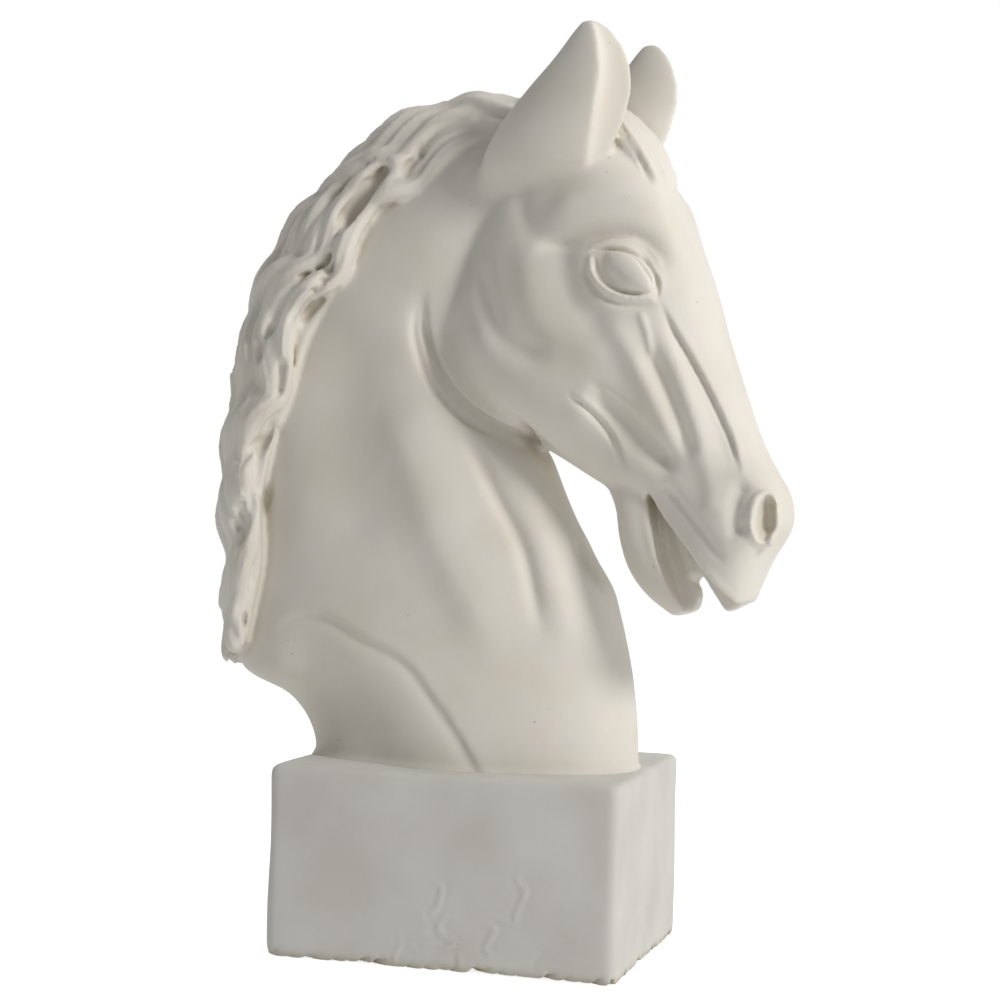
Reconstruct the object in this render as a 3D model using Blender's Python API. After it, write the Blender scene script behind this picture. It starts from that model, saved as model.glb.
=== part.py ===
"""Giant knight chess piece: a horse's head and neck cast in two halves on a hollow plinth.

The horse looks along +X and its left side is +Y. The origin is the middle of the resting face.
The bust is shaped upright in the side plane, and its head is turned to the right at the end.
"""

import math

import bmesh
import bpy
from mathutils import Matrix, Vector

# Driving dimensions, in metres.
GAP = 0.0003                    # between pieces that touch
SEAT_GAP = 0.0006               # round the bust, under the pieces that are bedded on it

PLINTH_LENGTH = 0.220
PLINTH_WIDTH = 0.175
PLINTH_TOP = 0.119
PLINTH_RIM = 0.0015             # the rim hangs this far above the ground, on the rubber feet
PLINTH_WALL = 0.010
PLINTH_DECK = 0.012
PLINTH_CORNER = 0.009           # radius of the upright edges
PLINTH_EDGE = 0.004             # rounding of the top edge
POST_CHAMFER = 0.030            # the cavity's corners are cut off by this much, for the screws

PLATE_BOTTOM = 0.008
PLATE_THICKNESS = 0.006
PLATE_MARGIN = 0.006            # from the plinth's outside to the recess that holds the plate
PLATE_CLEARANCE = 0.0008

FOOT_RADIUS = 0.012
FOOT_INSET = (0.044, 0.038)     # from the plinth's outside to a foot's middle, along X and Y
SCREW_INSET = (0.022, 0.022)
SCREW_RADIUS = 0.002
SCREW_HEAD_RADIUS = 0.004
SCREW_LENGTH = 0.025

PLUG_RADIUS = 0.016
PLUG_HEAD_RADIUS = 0.023
PLUG_HEAD_BOTTOM = 0.002
PLUG_HEAD_THICKNESS = 0.003
PLUG_TOP = 0.022
SEAL_THICKNESS = 0.0024
BUSH_WALL = 0.004
BUSH_FLANGE = 0.0025
BUSH_FLANGE_RADIUS = 0.027

SHELL = 0.009                   # wall of the hollow casting
BOARD_BOTTOM = PLINTH_TOP + 2.0 * GAP
BOARD_THICKNESS = 0.018
BOLT_X = (-0.055, 0.045)
BOLT_RADIUS = 0.004
BOLT_LENGTH = 0.044
BOLT_HEAD_RADIUS = 0.0075
BOLT_HEAD_THICKNESS = 0.0053
WASHER_RADIUS = 0.012
WASHER_THICKNESS = 0.0016
TEE_NUT_RADIUS = 0.011
TEE_NUT_FLANGE = 0.0015
TEE_NUT_BARREL = 0.0052
TEE_NUT_LENGTH = 0.012
PEG_RADIUS = 0.003

TURN_ANGLE = math.radians(12.0)         # of the head, to its right
BEND_X = (-0.130, 0.030)        # the neck bends sideways between these two
BEND_Z = (0.140, 0.320)         # from not at all at the first height to the whole at the second
THROAT_GAP = (0.085, 0.235)     # (x, z) of a point in the air between neck and jaw
THROAT_SLOPE = -0.5             # how far that gap leans back for each step up
THROAT_STEP = 0.012

ORIGIN_X = 0.0094               # from the plinth's middle to the middle of the whole piece

ROUND_STEPS = 24
SMALL_STEPS = 12
RING_POINTS = 16                # round the neck and head
FINE_RING_POINTS = 12           # round the ears, jaw and mane

# Cross-sections of the soft shapes. Each lies across the side plane, and is given by its front
# point (x, z), its back point (x, z), its half width, and on an ear its middle's distance in y.
NECK = [
    ((0.101, 0.100), (-0.112, 0.100), 0.064),
    ((0.100, 0.131), (-0.112, 0.131), 0.061),
    ((0.096, 0.165), (-0.128, 0.158), 0.058),
    ((0.092, 0.200), (-0.168, 0.185), 0.056),
    ((0.081, 0.236), (-0.167, 0.240), 0.053),
    ((0.065, 0.265), (-0.166, 0.295), 0.051),
    ((0.051, 0.300), (-0.166, 0.344), 0.050),
    ((0.040, 0.340), (-0.160, 0.386), 0.049),
    ((0.026, 0.384), (-0.144, 0.425), 0.047),
    ((0.027, 0.419), (-0.122, 0.463), 0.044),
    ((0.033, 0.444), (-0.091, 0.496), 0.040),
    ((0.048, 0.464), (-0.052, 0.522), 0.036),
    ((0.073, 0.474), (-0.002, 0.532), 0.032),
    ((0.090, 0.479), (0.043, 0.529), 0.024),
]
HEAD = [
    ((0.063, 0.532), (-0.001, 0.499), 0.026),
    ((0.090, 0.525), (-0.005, 0.469), 0.036),
    ((0.122, 0.499), (-0.010, 0.434), 0.043),
    ((0.141, 0.461), (-0.022, 0.401), 0.049),
    ((0.154, 0.427), (-0.010, 0.366), 0.050),
    ((0.165, 0.393), (0.020, 0.337), 0.045),
    ((0.177, 0.359), (0.063, 0.320), 0.037),
    ((0.187, 0.333), (0.095, 0.303), 0.031),
    ((0.196, 0.314), (0.118, 0.292), 0.029),
    ((0.208, 0.298), (0.136, 0.273), 0.030),
    ((0.210, 0.280), (0.151, 0.254), 0.029),
    ((0.200, 0.259), (0.162, 0.242), 0.025),
    ((0.189, 0.238), (0.171, 0.231), 0.016),
]
JAW = [
    ((0.129, 0.312), (0.086, 0.312), 0.022),
    ((0.129, 0.296), (0.102, 0.287), 0.024),
    ((0.133, 0.271), (0.100, 0.271), 0.024),
    ((0.141, 0.251), (0.103, 0.251), 0.022),
    ((0.151, 0.239), (0.115, 0.236), 0.018),
    ((0.151, 0.228), (0.133, 0.224), 0.010),
]
EAR = [
    ((0.094, 0.484), (0.016, 0.480), 0.016, 0.031),
    ((0.102, 0.506), (0.015, 0.498), 0.018, 0.034),
    ((0.110, 0.528), (0.029, 0.520), 0.018, 0.038),
    ((0.115, 0.549), (0.047, 0.542), 0.015, 0.041),
    ((0.109, 0.568), (0.069, 0.564), 0.010, 0.042),
    ((0.097, 0.584), (0.084, 0.582), 0.004, 0.042),
]

# The mane lies over the crest: outer point, inner edge on the neck's side, half width there.
MANE = [
    ((0.127, 0.485), (0.110, 0.477), 0.007),
    ((0.115, 0.507), (0.090, 0.483), 0.011),
    ((0.094, 0.534), (0.073, 0.495), 0.012),
    ((0.059, 0.548), (0.049, 0.507), 0.014),
    ((0.017, 0.549), (0.013, 0.509), 0.020),
    ((-0.028, 0.550), (-0.022, 0.501), 0.030),
    ((-0.071, 0.537), (-0.049, 0.483), 0.040),
    ((-0.102, 0.511), (-0.075, 0.454), 0.045),
    ((-0.140, 0.474), (-0.098, 0.424), 0.047),
    ((-0.164, 0.431), (-0.117, 0.392), 0.048),
    ((-0.178, 0.382), (-0.126, 0.356), 0.049),
    ((-0.185, 0.331), (-0.138, 0.322), 0.049),
    ((-0.188, 0.286), (-0.144, 0.285), 0.049),
    ((-0.182, 0.246), (-0.142, 0.250), 0.050),
    ((-0.182, 0.206), (-0.147, 0.216), 0.051),
    ((-0.176, 0.176), (-0.152, 0.192), 0.046),
]
EYE_CENTRE = Vector((0.121, 0.037, 0.430))
EYE_RADIUS = 0.017
NOSTRIL_CENTRE = Vector((0.199, 0.030, 0.285))
NOSTRIL_RADII = (0.0065, 0.009, 0.012)

# sRGB colour, roughness, metallic
FINISHES = {
    "cast_plaster": ((0.86, 0.85, 0.82), 0.80, 0.0),
    "plywood": ((0.72, 0.58, 0.40), 0.75, 0.0),
    "rubber": ((0.08, 0.08, 0.08), 0.85, 0.0),
    "zinc_steel": ((0.70, 0.71, 0.72), 0.40, 1.0),
    "polyethylene": ((0.16, 0.17, 0.18), 0.50, 0.0),
    "beech": ((0.78, 0.62, 0.44), 0.65, 0.0),
}


def clear_scene():
    for obj in list(bpy.data.objects):
        bpy.data.objects.remove(obj, do_unlink=True)


def linear(channel):
    if channel <= 0.04045:
        return channel / 12.92
    return ((channel + 0.055) / 1.055) ** 2.4


def make_materials():
    made = {}
    for name, (colour, roughness, metallic) in FINISHES.items():
        material = bpy.data.materials.new(name)
        material.use_nodes = True
        shader = material.node_tree.nodes["Principled BSDF"]
        shader.inputs["Base Color"].default_value = (*map(linear, colour), 1.0)
        shader.inputs["Roughness"].default_value = roughness
        shader.inputs["Metallic"].default_value = metallic
        made[name] = material
    return made


def add_object(name, bm, location=(0.0, 0.0, 0.0)):
    """Turn a bmesh into an object of the scene, with its faces pointing out."""
    bmesh.ops.recalc_face_normals(bm, faces=bm.faces)
    mesh = bpy.data.meshes.new(name)
    bm.to_mesh(mesh)
    bm.free()
    obj = bpy.data.objects.new(name, mesh)
    obj.location = location
    bpy.context.collection.objects.link(obj)
    return obj


def finish(obj, material, smooth=True):
    """Give a piece its material and shading."""
    obj.data.materials.clear()
    obj.data.materials.append(material)
    if smooth:
        obj.data.shade_smooth()
        obj.data.set_sharp_from_angle(angle=math.radians(35.0))
    return obj


def as_cutter(obj):
    obj.hide_render = True
    obj.display_type = "WIRE"
    return obj


def cut(obj, cutter, operation="DIFFERENCE"):
    """Leave a Boolean modifier on the object and mark the cutter as one."""
    modifier = obj.modifiers.new(operation.lower(), "BOOLEAN")
    modifier.operation = operation
    modifier.object = as_cutter(cutter)
    return obj


def bake(obj, *spent):
    """Keep the evaluated mesh, drop the modifiers, and remove the objects they used."""
    graph = bpy.context.evaluated_depsgraph_get()
    mesh = bpy.data.meshes.new_from_object(obj.evaluated_get(graph))
    obj.modifiers.clear()
    obj.data = mesh
    for used in spent:
        bpy.data.objects.remove(used, do_unlink=True)
    return obj


def slice_off(obj, point, normal):
    """Remove what lies beyond a plane and close the cut. Points close to the plane move onto it."""
    normal = Vector(normal)
    bm = bmesh.new()
    bm.from_mesh(obj.data)
    for vertex in bm.verts:
        height = (vertex.co - Vector(point)).dot(normal)
        if abs(height) < 2.0 * GAP:
            vertex.co -= height * normal
    bmesh.ops.remove_doubles(bm, verts=bm.verts, dist=GAP / 3.0)
    bmesh.ops.dissolve_degenerate(bm, edges=bm.edges, dist=GAP / 10.0)
    everything = bm.verts[:] + bm.edges[:] + bm.faces[:]
    bmesh.ops.bisect_plane(
        bm, geom=everything, dist=GAP / 10.0, plane_co=point, plane_no=normal, clear_outer=True
    )
    rim = [edge for edge in bm.edges if edge.is_boundary]
    bmesh.ops.triangle_fill(bm, use_beauty=True, edges=rim)
    bmesh.ops.recalc_face_normals(bm, faces=bm.faces)
    bm.to_mesh(obj.data)
    bm.free()
    return obj


def lathe(name, profile, location=(0.0, 0.0, 0.0), steps=ROUND_STEPS, ring=False):
    """Turn (radius, height) points about Z. A ring's profile closes on itself."""
    bm = bmesh.new()
    rings = []
    for radius, height in profile:
        count = steps if radius > 0.0 else 1
        angles = [2.0 * math.pi * k / steps for k in range(count)]
        rings.append([bm.verts.new((radius * math.cos(a), radius * math.sin(a), height)) for a in angles])
    pairs = list(zip(rings, rings[1:]))
    if ring:
        pairs.append((rings[-1], rings[0]))
    for lower, upper in pairs:
        for k in range(steps):
            after = (k + 1) % steps
            corners = [lower[k % len(lower)], lower[after % len(lower)]]
            corners += [upper[after % len(upper)], upper[k % len(upper)]]
            bm.faces.new(list(dict.fromkeys(corners)))
    return add_object(name, bm, location)


def cylinder(name, radius, bottom, top, centre=(0.0, 0.0), steps=ROUND_STEPS):
    profile = [(0.0, bottom), (radius, bottom), (radius, top), (0.0, top)]
    return lathe(name, profile, (centre[0], centre[1], 0.0), steps)


def washer(name, inner, outer, bottom, top, centre=(0.0, 0.0), steps=ROUND_STEPS):
    profile = [(inner, bottom), (outer, bottom), (outer, top), (inner, top)]
    return lathe(name, profile, (centre[0], centre[1], 0.0), steps, ring=True)


def prism(name, outline, bottom, top):
    """Extrude an outline of (x, y) points upwards."""
    bm = bmesh.new()
    base = bm.faces.new([bm.verts.new((x, y, bottom)) for x, y in outline])
    walls = bmesh.ops.extrude_face_region(bm, geom=[base])
    raised = [part for part in walls["geom"] if isinstance(part, bmesh.types.BMVert)]
    bmesh.ops.translate(bm, verts=raised, vec=(0.0, 0.0, top - bottom))
    return add_object(name, bm)


def rounded_rectangle(length, width, radius, steps=6):
    """Outline of a rectangle about the origin; one step gives chamfered corners."""
    outline = []
    for corner, (sx, sy) in enumerate([(1, 1), (-1, 1), (-1, -1), (1, -1)]):
        centre_x = sx * (length / 2.0 - radius)
        centre_y = sy * (width / 2.0 - radius)
        for step in range(steps + 1):
            angle = math.pi / 2.0 * (corner + step / steps)
            outline.append((centre_x + radius * math.cos(angle), centre_y + radius * math.sin(angle)))
    return outline


def block(name, low, high):
    """A plain box between two corners."""
    bm = bmesh.new()
    bmesh.ops.create_cube(bm, size=1.0)
    size = Vector(high) - Vector(low)
    bmesh.ops.scale(bm, vec=size, verts=bm.verts)
    bmesh.ops.translate(bm, vec=(Vector(high) + Vector(low)) / 2.0, verts=bm.verts)
    return add_object(name, bm)


def ellipsoid(name, centre, radii, tilt=0.0):
    """A ball stretched along X, Y and Z, then tilted about Y."""
    bm = bmesh.new()
    bmesh.ops.create_uvsphere(bm, u_segments=SMALL_STEPS, v_segments=8, radius=1.0)
    shape = Matrix.Translation(centre) @ Matrix.Rotation(tilt, 4, "Y") @ Matrix.Diagonal((*radii, 1.0))
    bmesh.ops.transform(bm, matrix=shape, verts=bm.verts)
    return add_object(name, bm)


def full_sine(angle):
    """A sine that fills out the cross-sections a little."""
    return math.copysign(abs(math.sin(angle)) ** 0.85, math.sin(angle))


def smoothed_share(count):
    """How much of its radius a ring of so many points keeps under subdivision."""
    return (2.0 + math.cos(2.0 * math.pi / count)) / 3.0


def oval_ring(station, inset, side, count):
    """Points round one cross-section, pulled in by the inset."""
    front, back, half_width, *offset = station
    middle_y = side * offset[0] if offset else 0.0
    front = Vector((front[0], middle_y, front[1]))
    back = Vector((back[0], middle_y, back[1]))
    middle = (front + back) / 2.0
    along = (front - back).normalized()
    reach = ((front - back).length / 2.0 - inset) / smoothed_share(count)
    breadth = (half_width - inset) / smoothed_share(count)
    points = []
    for k in range(count):
        angle = 2.0 * math.pi * k / count
        points.append(middle + along * reach * math.cos(angle) + Vector((0.0, breadth * full_sine(angle), 0.0)))
    return points


def saddle_ring(station, inset, side, count):
    """Points of one cross-section of the mane: an arch over the crest, closed inside the neck."""
    outer, inner, half_width = station
    outer = Vector((outer[0], side, outer[1]))
    inner = Vector((inner[0], side, inner[1]))
    along = outer - inner
    breadth = (half_width - inset) / smoothed_share(count)
    arch_points = count - 3
    points = []
    for k in range(arch_points):
        angle = math.pi * k / (arch_points - 1)
        points.append(inner + along * math.sin(angle) + Vector((0.0, breadth * math.cos(angle), 0.0)))
    for share in (-0.5, 0.0, 0.5):
        points.append(inner + Vector((0.0, breadth * share, 0.0)))
    return points


def loft(name, stations, inset=0.0, side=0.0, section=oval_ring, count=RING_POINTS):
    """Skin the cross-sections into one smooth closed body. A grown one is longer too."""
    bm = bmesh.new()
    outlines = [section(station, inset, side, count) for station in stations]
    if inset < 0.0:
        for end, beside in ((0, 1), (-1, -2)):
            away = (outlines[end][0] + outlines[end][count // 2] - outlines[beside][0] - outlines[beside][count // 2])
            outlines[end] = [point - away.normalized() * 2.0 * inset for point in outlines[end]]
    rings = [[bm.verts.new(point) for point in outline] for outline in outlines]
    for lower, upper in zip(rings, rings[1:]):
        for k in range(count):
            after = (k + 1) % count
            bm.faces.new((lower[k], lower[after], upper[after], upper[k]))
    bm.faces.new(rings[0])
    bm.faces.new(rings[-1])
    obj = add_object(name, bm)
    smoothing = obj.modifiers.new("smooth", "SUBSURF")
    smoothing.levels = 1
    smoothing.render_levels = 1
    return bake(obj)


def eased(share):
    share = min(max(share, 0.0), 1.0)
    return share * share * (3.0 - 2.0 * share)


def turn_share(x, z):
    """How much of the head's turn a point takes: all of it on the head, less down the neck."""
    share = eased((z - BEND_Z[0]) / (BEND_Z[1] - BEND_Z[0]))
    gap_x = THROAT_GAP[0] + THROAT_SLOPE * (z - THROAT_GAP[1])
    if z > BEND_Z[0]:
        share = max(share, eased((x - gap_x) / THROAT_STEP))
    return share


def turn_head(obj):
    """Bend the neck sideways along an arc, so that the head looks to its right."""
    start, end = BEND_X
    length = end - start
    for vertex in obj.data.vertices:
        x, y, z = vertex.co
        turn = TURN_ANGLE * turn_share(x, z)
        if turn < 1e-6 or x < start:
            continue
        heading = turn * min(x - start, length) / length
        radius = length / turn
        beyond = max(x - end, 0.0)
        vertex.co.x = start + (radius + y) * math.sin(heading) + beyond * math.cos(heading)
        vertex.co.y = (radius + y) * math.cos(heading) - radius - beyond * math.sin(heading)
    return obj


def bust_form(name, inset=0.0):
    """Neck and head in one body. A hollow stops short of the poll and the nose; a seat is grown."""
    hollow = inset > 0.0
    neck = loft(name, NECK[:-1] if hollow else NECK, inset)
    head = loft(name + "_head", HEAD[1:-3] if hollow else HEAD, inset)
    return bake(cut(neck, head, "UNION"), head)


def ear_peg_line(side):
    """Foot and direction of the peg that holds an ear."""
    foot = Vector((0.052, side * 0.028, 0.478))
    tip = Vector((0.066, side * 0.036, 0.524))
    return foot, tip


def peg(name, side, radius, spare=0.0):
    """A round peg along the ear's axis."""
    foot, tip = ear_peg_line(side)
    length = (tip - foot).length
    obj = cylinder(name, radius, -spare, length + spare, steps=SMALL_STEPS)
    placing = Matrix.Translation(foot) @ (tip - foot).to_track_quat("Z", "Y").to_matrix().to_4x4()
    obj.data.transform(placing)
    return obj


def make_bust_half(name, side, material):
    """One half of the hollow casting, cut along the middle plane and open at the bottom."""
    half = bust_form(name)
    eye = ellipsoid("eye", Vector((EYE_CENTRE.x, side * EYE_CENTRE.y, EYE_CENTRE.z)), (EYE_RADIUS,) * 3)
    half = bake(cut(half, eye, "UNION"), eye)
    hollow = bust_form("hollow", SHELL)
    half = bake(cut(half, hollow), hollow)
    half = slice_off(half, (0.0, 0.0, PLINTH_TOP + GAP), (0.0, 0.0, -1.0))
    half = slice_off(half, (0.0, side * GAP / 2.0, 0.0), (0.0, -side, 0.0))
    nostril_centre = Vector((NOSTRIL_CENTRE.x, side * NOSTRIL_CENTRE.y, NOSTRIL_CENTRE.z))
    nostril = ellipsoid("nostril", nostril_centre, NOSTRIL_RADII)
    half = bake(cut(half, nostril), nostril)
    hole = peg("hole", side, PEG_RADIUS + GAP, spare=0.004)
    half = bake(cut(half, hole), hole)
    return finish(turn_head(half), material)


def make_lower_jaw(material):
    jaw = loft("lower_jaw", JAW, count=FINE_RING_POINTS)
    seat = bust_form("seat", -SEAT_GAP)
    return finish(turn_head(bake(cut(jaw, seat), seat)), material)


def make_mane(material):
    mane = loft("mane", MANE, section=saddle_ring, count=FINE_RING_POINTS)
    seat = bust_form("seat", -SEAT_GAP)
    return finish(turn_head(bake(cut(mane, seat), seat)), material)


def make_ear(name, side, material):
    """A leaf-shaped ear, cupped at the front, on a seat that fits the head."""
    ear = loft(name, EAR, side=side, count=FINE_RING_POINTS)
    seat = bust_form("seat", -SEAT_GAP)
    ear = bake(cut(ear, seat), seat)
    cup = ellipsoid("cup", Vector((0.106, side * 0.055, 0.545)), (0.020, 0.013, 0.028), -0.25)
    ear = bake(cut(ear, cup), cup)
    hole = peg("hole", side, PEG_RADIUS + GAP, spare=0.001)
    ear = bake(cut(ear, hole), hole)
    return finish(turn_head(ear), material)


def make_anchor_board(material):
    """Plywood board bonded into the foot of the hollow bust, drilled for the two tee nuts."""
    board = loft("anchor_board", NECK, SHELL + GAP)
    slab = block("slab", (-0.3, -0.2, BOARD_BOTTOM), (0.3, 0.2, BOARD_BOTTOM + BOARD_THICKNESS))
    board = bake(cut(board, slab, "INTERSECT"), slab)
    for x in BOLT_X:
        hole = cylinder("hole", TEE_NUT_BARREL + GAP, 0.1, 0.2, (x, 0.0), SMALL_STEPS)
        board = bake(cut(board, hole), hole)
    return finish(board, material)


def make_bust_fixings(index, x, steel):
    """Bolt and washer under the deck, and the tee nut on the board."""
    deck_bottom = PLINTH_TOP - PLINTH_DECK
    washer_top = deck_bottom - GAP
    washer_bottom = washer_top - WASHER_THICKNESS
    head_top = washer_bottom - GAP
    head_bottom = head_top - BOLT_HEAD_THICKNESS
    finish(washer(f"bust_washer_{index}", BOLT_RADIUS + GAP, WASHER_RADIUS, washer_bottom, washer_top, (x, 0.0)), steel)

    hexagon = cylinder(f"bust_bolt_{index}", BOLT_HEAD_RADIUS, head_bottom, head_top, (x, 0.0), 6)
    shank = cylinder("shank", BOLT_RADIUS, head_top - 0.001, head_top + BOLT_LENGTH, (x, 0.0), SMALL_STEPS)
    finish(bake(cut(hexagon, shank, "UNION"), shank), steel)

    flange_bottom = BOARD_BOTTOM + BOARD_THICKNESS + GAP
    flange_top = flange_bottom + TEE_NUT_FLANGE
    bore = BOLT_RADIUS + GAP
    profile = [
        (bore, flange_top - TEE_NUT_LENGTH),
        (TEE_NUT_BARREL, flange_top - TEE_NUT_LENGTH),
        (TEE_NUT_BARREL, flange_bottom),
        (TEE_NUT_RADIUS, flange_bottom),
        (TEE_NUT_RADIUS, flange_top),
        (bore, flange_top),
    ]
    finish(lathe(f"tee_nut_{index}", profile, (x, 0.0, 0.0), SMALL_STEPS, ring=True), steel)


def corners(inset):
    """The four places at the given distances from the plinth's outside."""
    x = PLINTH_LENGTH / 2.0 - inset[0]
    y = PLINTH_WIDTH / 2.0 - inset[1]
    return [(x, y), (-x, y), (-x, -y), (x, -y)]


def make_plinth(material):
    """Hollow box with a deck, corner posts for the screws and a recess for the base plate."""
    outline = rounded_rectangle(PLINTH_LENGTH, PLINTH_WIDTH, PLINTH_CORNER)
    shell = prism("plinth_shell", outline, PLINTH_RIM, PLINTH_TOP)
    bm = bmesh.new()
    bm.from_mesh(shell.data)
    top = [e for e in bm.edges if all(abs(v.co.z - PLINTH_TOP) < 1e-6 for v in e.verts)]
    bmesh.ops.bevel(bm, geom=top, offset=PLINTH_EDGE, segments=3, affect="EDGES", profile=0.5)
    bm.to_mesh(shell.data)
    bm.free()

    inner_length = PLINTH_LENGTH - 2.0 * PLINTH_WALL
    inner_width = PLINTH_WIDTH - 2.0 * PLINTH_WALL
    plate_top = PLATE_BOTTOM + PLATE_THICKNESS
    chamfered = rounded_rectangle(inner_length, inner_width, POST_CHAMFER, steps=1)
    cavity = prism("cavity", chamfered, PLATE_BOTTOM, PLINTH_TOP - PLINTH_DECK)
    shell = bake(cut(shell, cavity), cavity)
    seat_outline = rounded_rectangle(PLINTH_LENGTH - 2.0 * PLATE_MARGIN, PLINTH_WIDTH - 2.0 * PLATE_MARGIN, 0.006)
    recess = prism("recess", seat_outline, -0.01, plate_top + GAP)
    shell = bake(cut(shell, recess), recess)
    for x in BOLT_X:
        hole = cylinder("hole", BOLT_RADIUS + 2.0 * GAP, 0.09, 0.13, (x, 0.0), SMALL_STEPS)
        shell = bake(cut(shell, hole), hole)
    for place in corners(SCREW_INSET):
        pilot_top = PLATE_BOTTOM + SCREW_LENGTH + 0.002
        pilot = cylinder("pilot", SCREW_RADIUS + GAP, 0.0, pilot_top, place, SMALL_STEPS)
        shell = bake(cut(shell, pilot), pilot)
    return finish(shell, material)


def screw_profile(grow):
    """Countersunk screw, head down, from the tip of the head to the point."""
    head_depth = 0.0024
    return [
        (0.0, PLATE_BOTTOM - grow),
        (SCREW_HEAD_RADIUS + grow, PLATE_BOTTOM - grow),
        (SCREW_RADIUS + grow, PLATE_BOTTOM + head_depth + grow),
        (SCREW_RADIUS + grow, PLATE_BOTTOM + SCREW_LENGTH - 0.003),
        (0.0, PLATE_BOTTOM + SCREW_LENGTH + grow),
    ]


def make_base_plate(material):
    """Plywood board that closes the plinth from below, with the filler hole in its middle."""
    length = PLINTH_LENGTH - 2.0 * (PLATE_MARGIN + PLATE_CLEARANCE)
    width = PLINTH_WIDTH - 2.0 * (PLATE_MARGIN + PLATE_CLEARANCE)
    plate_top = PLATE_BOTTOM + PLATE_THICKNESS
    plate = prism("base_plate", rounded_rectangle(length, width, 0.0055), PLATE_BOTTOM, plate_top)
    filler_hole = cylinder("filler_hole", PLUG_RADIUS + BUSH_WALL + 2.0 * GAP, 0.0, 0.03)
    plate = bake(cut(plate, filler_hole), filler_hole)
    for x, y in corners(SCREW_INSET):
        hole = lathe("hole", screw_profile(GAP), (x, y, 0.0), SMALL_STEPS)
        plate = bake(cut(plate, hole), hole)
    return finish(plate, material)


def make_base_screw(index, place, steel):
    screw = lathe(f"base_plate_screw_{index}", screw_profile(0.0), (*place, 0.0), SMALL_STEPS)
    slot_low = (place[0] - 0.0005, place[1] - 0.0025, PLATE_BOTTOM - 0.001)
    slot_high = (place[0] + 0.0005, place[1] + 0.0025, PLATE_BOTTOM + 0.001)
    slot = block("slot", slot_low, slot_high)
    cross = block("cross", (slot_low[0] - 0.002, slot_low[1] + 0.002, slot_low[2]),
                  (slot_high[0] + 0.002, slot_high[1] - 0.002, slot_high[2]))
    screw = bake(cut(screw, slot), slot)
    return finish(bake(cut(screw, cross), cross), steel)


def make_foot(index, place, rubber):
    """Round rubber pad with a softened lower edge."""
    top = PLATE_BOTTOM - GAP
    profile = [
        (0.0, 0.0),
        (FOOT_RADIUS - 0.0015, 0.0),
        (FOOT_RADIUS - 0.0004, 0.0006),
        (FOOT_RADIUS, 0.0018),
        (FOOT_RADIUS, top),
        (0.0, top),
    ]
    return finish(lathe(f"foot_{index}", profile, (*place, 0.0)), rubber)


def make_filler_bush(plastic):
    """Flanged collar in the base plate that the plug screws into."""
    plate_top = PLATE_BOTTOM + PLATE_THICKNESS
    bore = PLUG_RADIUS + GAP
    outside = PLUG_RADIUS + BUSH_WALL
    profile = [
        (bore, PLATE_BOTTOM),
        (outside, PLATE_BOTTOM),
        (outside, plate_top + GAP),
        (BUSH_FLANGE_RADIUS, plate_top + GAP),
        (BUSH_FLANGE_RADIUS, plate_top + BUSH_FLANGE),
        (bore, plate_top + BUSH_FLANGE),
    ]
    return finish(lathe("filler_bush", profile, ring=True), plastic)


def make_filler_plug(plastic):
    """Screwed plug for the ballast, with a bar across its head to turn it by."""
    head_top = PLUG_HEAD_BOTTOM + PLUG_HEAD_THICKNESS
    profile = [
        (0.0, PLUG_HEAD_BOTTOM),
        (PLUG_HEAD_RADIUS - 0.001, PLUG_HEAD_BOTTOM),
        (PLUG_HEAD_RADIUS, PLUG_HEAD_BOTTOM + 0.001),
        (PLUG_HEAD_RADIUS, head_top),
        (PLUG_RADIUS, head_top),
        (PLUG_RADIUS, PLUG_TOP - 0.001),
        (PLUG_RADIUS - 0.001, PLUG_TOP),
        (0.0, PLUG_TOP),
    ]
    plug = lathe("filler_plug", profile)
    for side in (-1, 1):
        low_y, high_y = sorted((side * 0.002, side * 0.014))
        pocket = block("pocket", (-0.013, low_y, 0.0), (0.013, high_y, head_top - 0.001))
        plug = bake(cut(plug, pocket), pocket)
    return finish(plug, plastic)


def make_plug_seal(rubber):
    bottom = PLUG_HEAD_BOTTOM + PLUG_HEAD_THICKNESS + GAP
    seal = washer("plug_seal_ring", PLUG_RADIUS + GAP, PLUG_HEAD_RADIUS - 0.001, bottom, bottom + SEAL_THICKNESS)
    return finish(seal, rubber)


def move_origin():
    """Hang every piece on an empty, so that the origin is the middle of the whole piece's base."""
    middle = bpy.data.objects.new("middle", None)
    middle.location.x = -ORIGIN_X
    bpy.context.collection.objects.link(middle)
    for obj in bpy.data.objects:
        if obj is not middle:
            obj.parent = middle


def main():
    clear_scene()
    materials = make_materials()
    plaster = materials["cast_plaster"]
    steel = materials["zinc_steel"]

    make_plinth(plaster)
    make_base_plate(materials["plywood"])
    for index, place in enumerate(corners(SCREW_INSET), start=1):
        make_base_screw(index, place, steel)
    for index, place in enumerate(corners(FOOT_INSET), start=1):
        make_foot(index, place, materials["rubber"])
    make_filler_bush(materials["polyethylene"])
    make_filler_plug(materials["polyethylene"])
    make_plug_seal(materials["rubber"])

    for name, side in (("left", 1.0), ("right", -1.0)):
        make_bust_half(f"bust_{name}_half", side, plaster)
        make_ear(f"{name}_ear", side, plaster)
        finish(turn_head(peg(f"{name}_ear_peg", side, PEG_RADIUS)), materials["beech"])
    make_lower_jaw(plaster)
    make_mane(plaster)
    make_anchor_board(materials["plywood"])
    for index, x in enumerate(BOLT_X, start=1):
        make_bust_fixings(index, x, steel)
    move_origin()


main()
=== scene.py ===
import math

import bmesh
import bpy
import numpy as np
from bpy.props import FloatProperty, FloatVectorProperty, IntProperty, PointerProperty
from mathutils import Matrix, Vector
from mathutils.bvhtree import BVHTree


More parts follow.
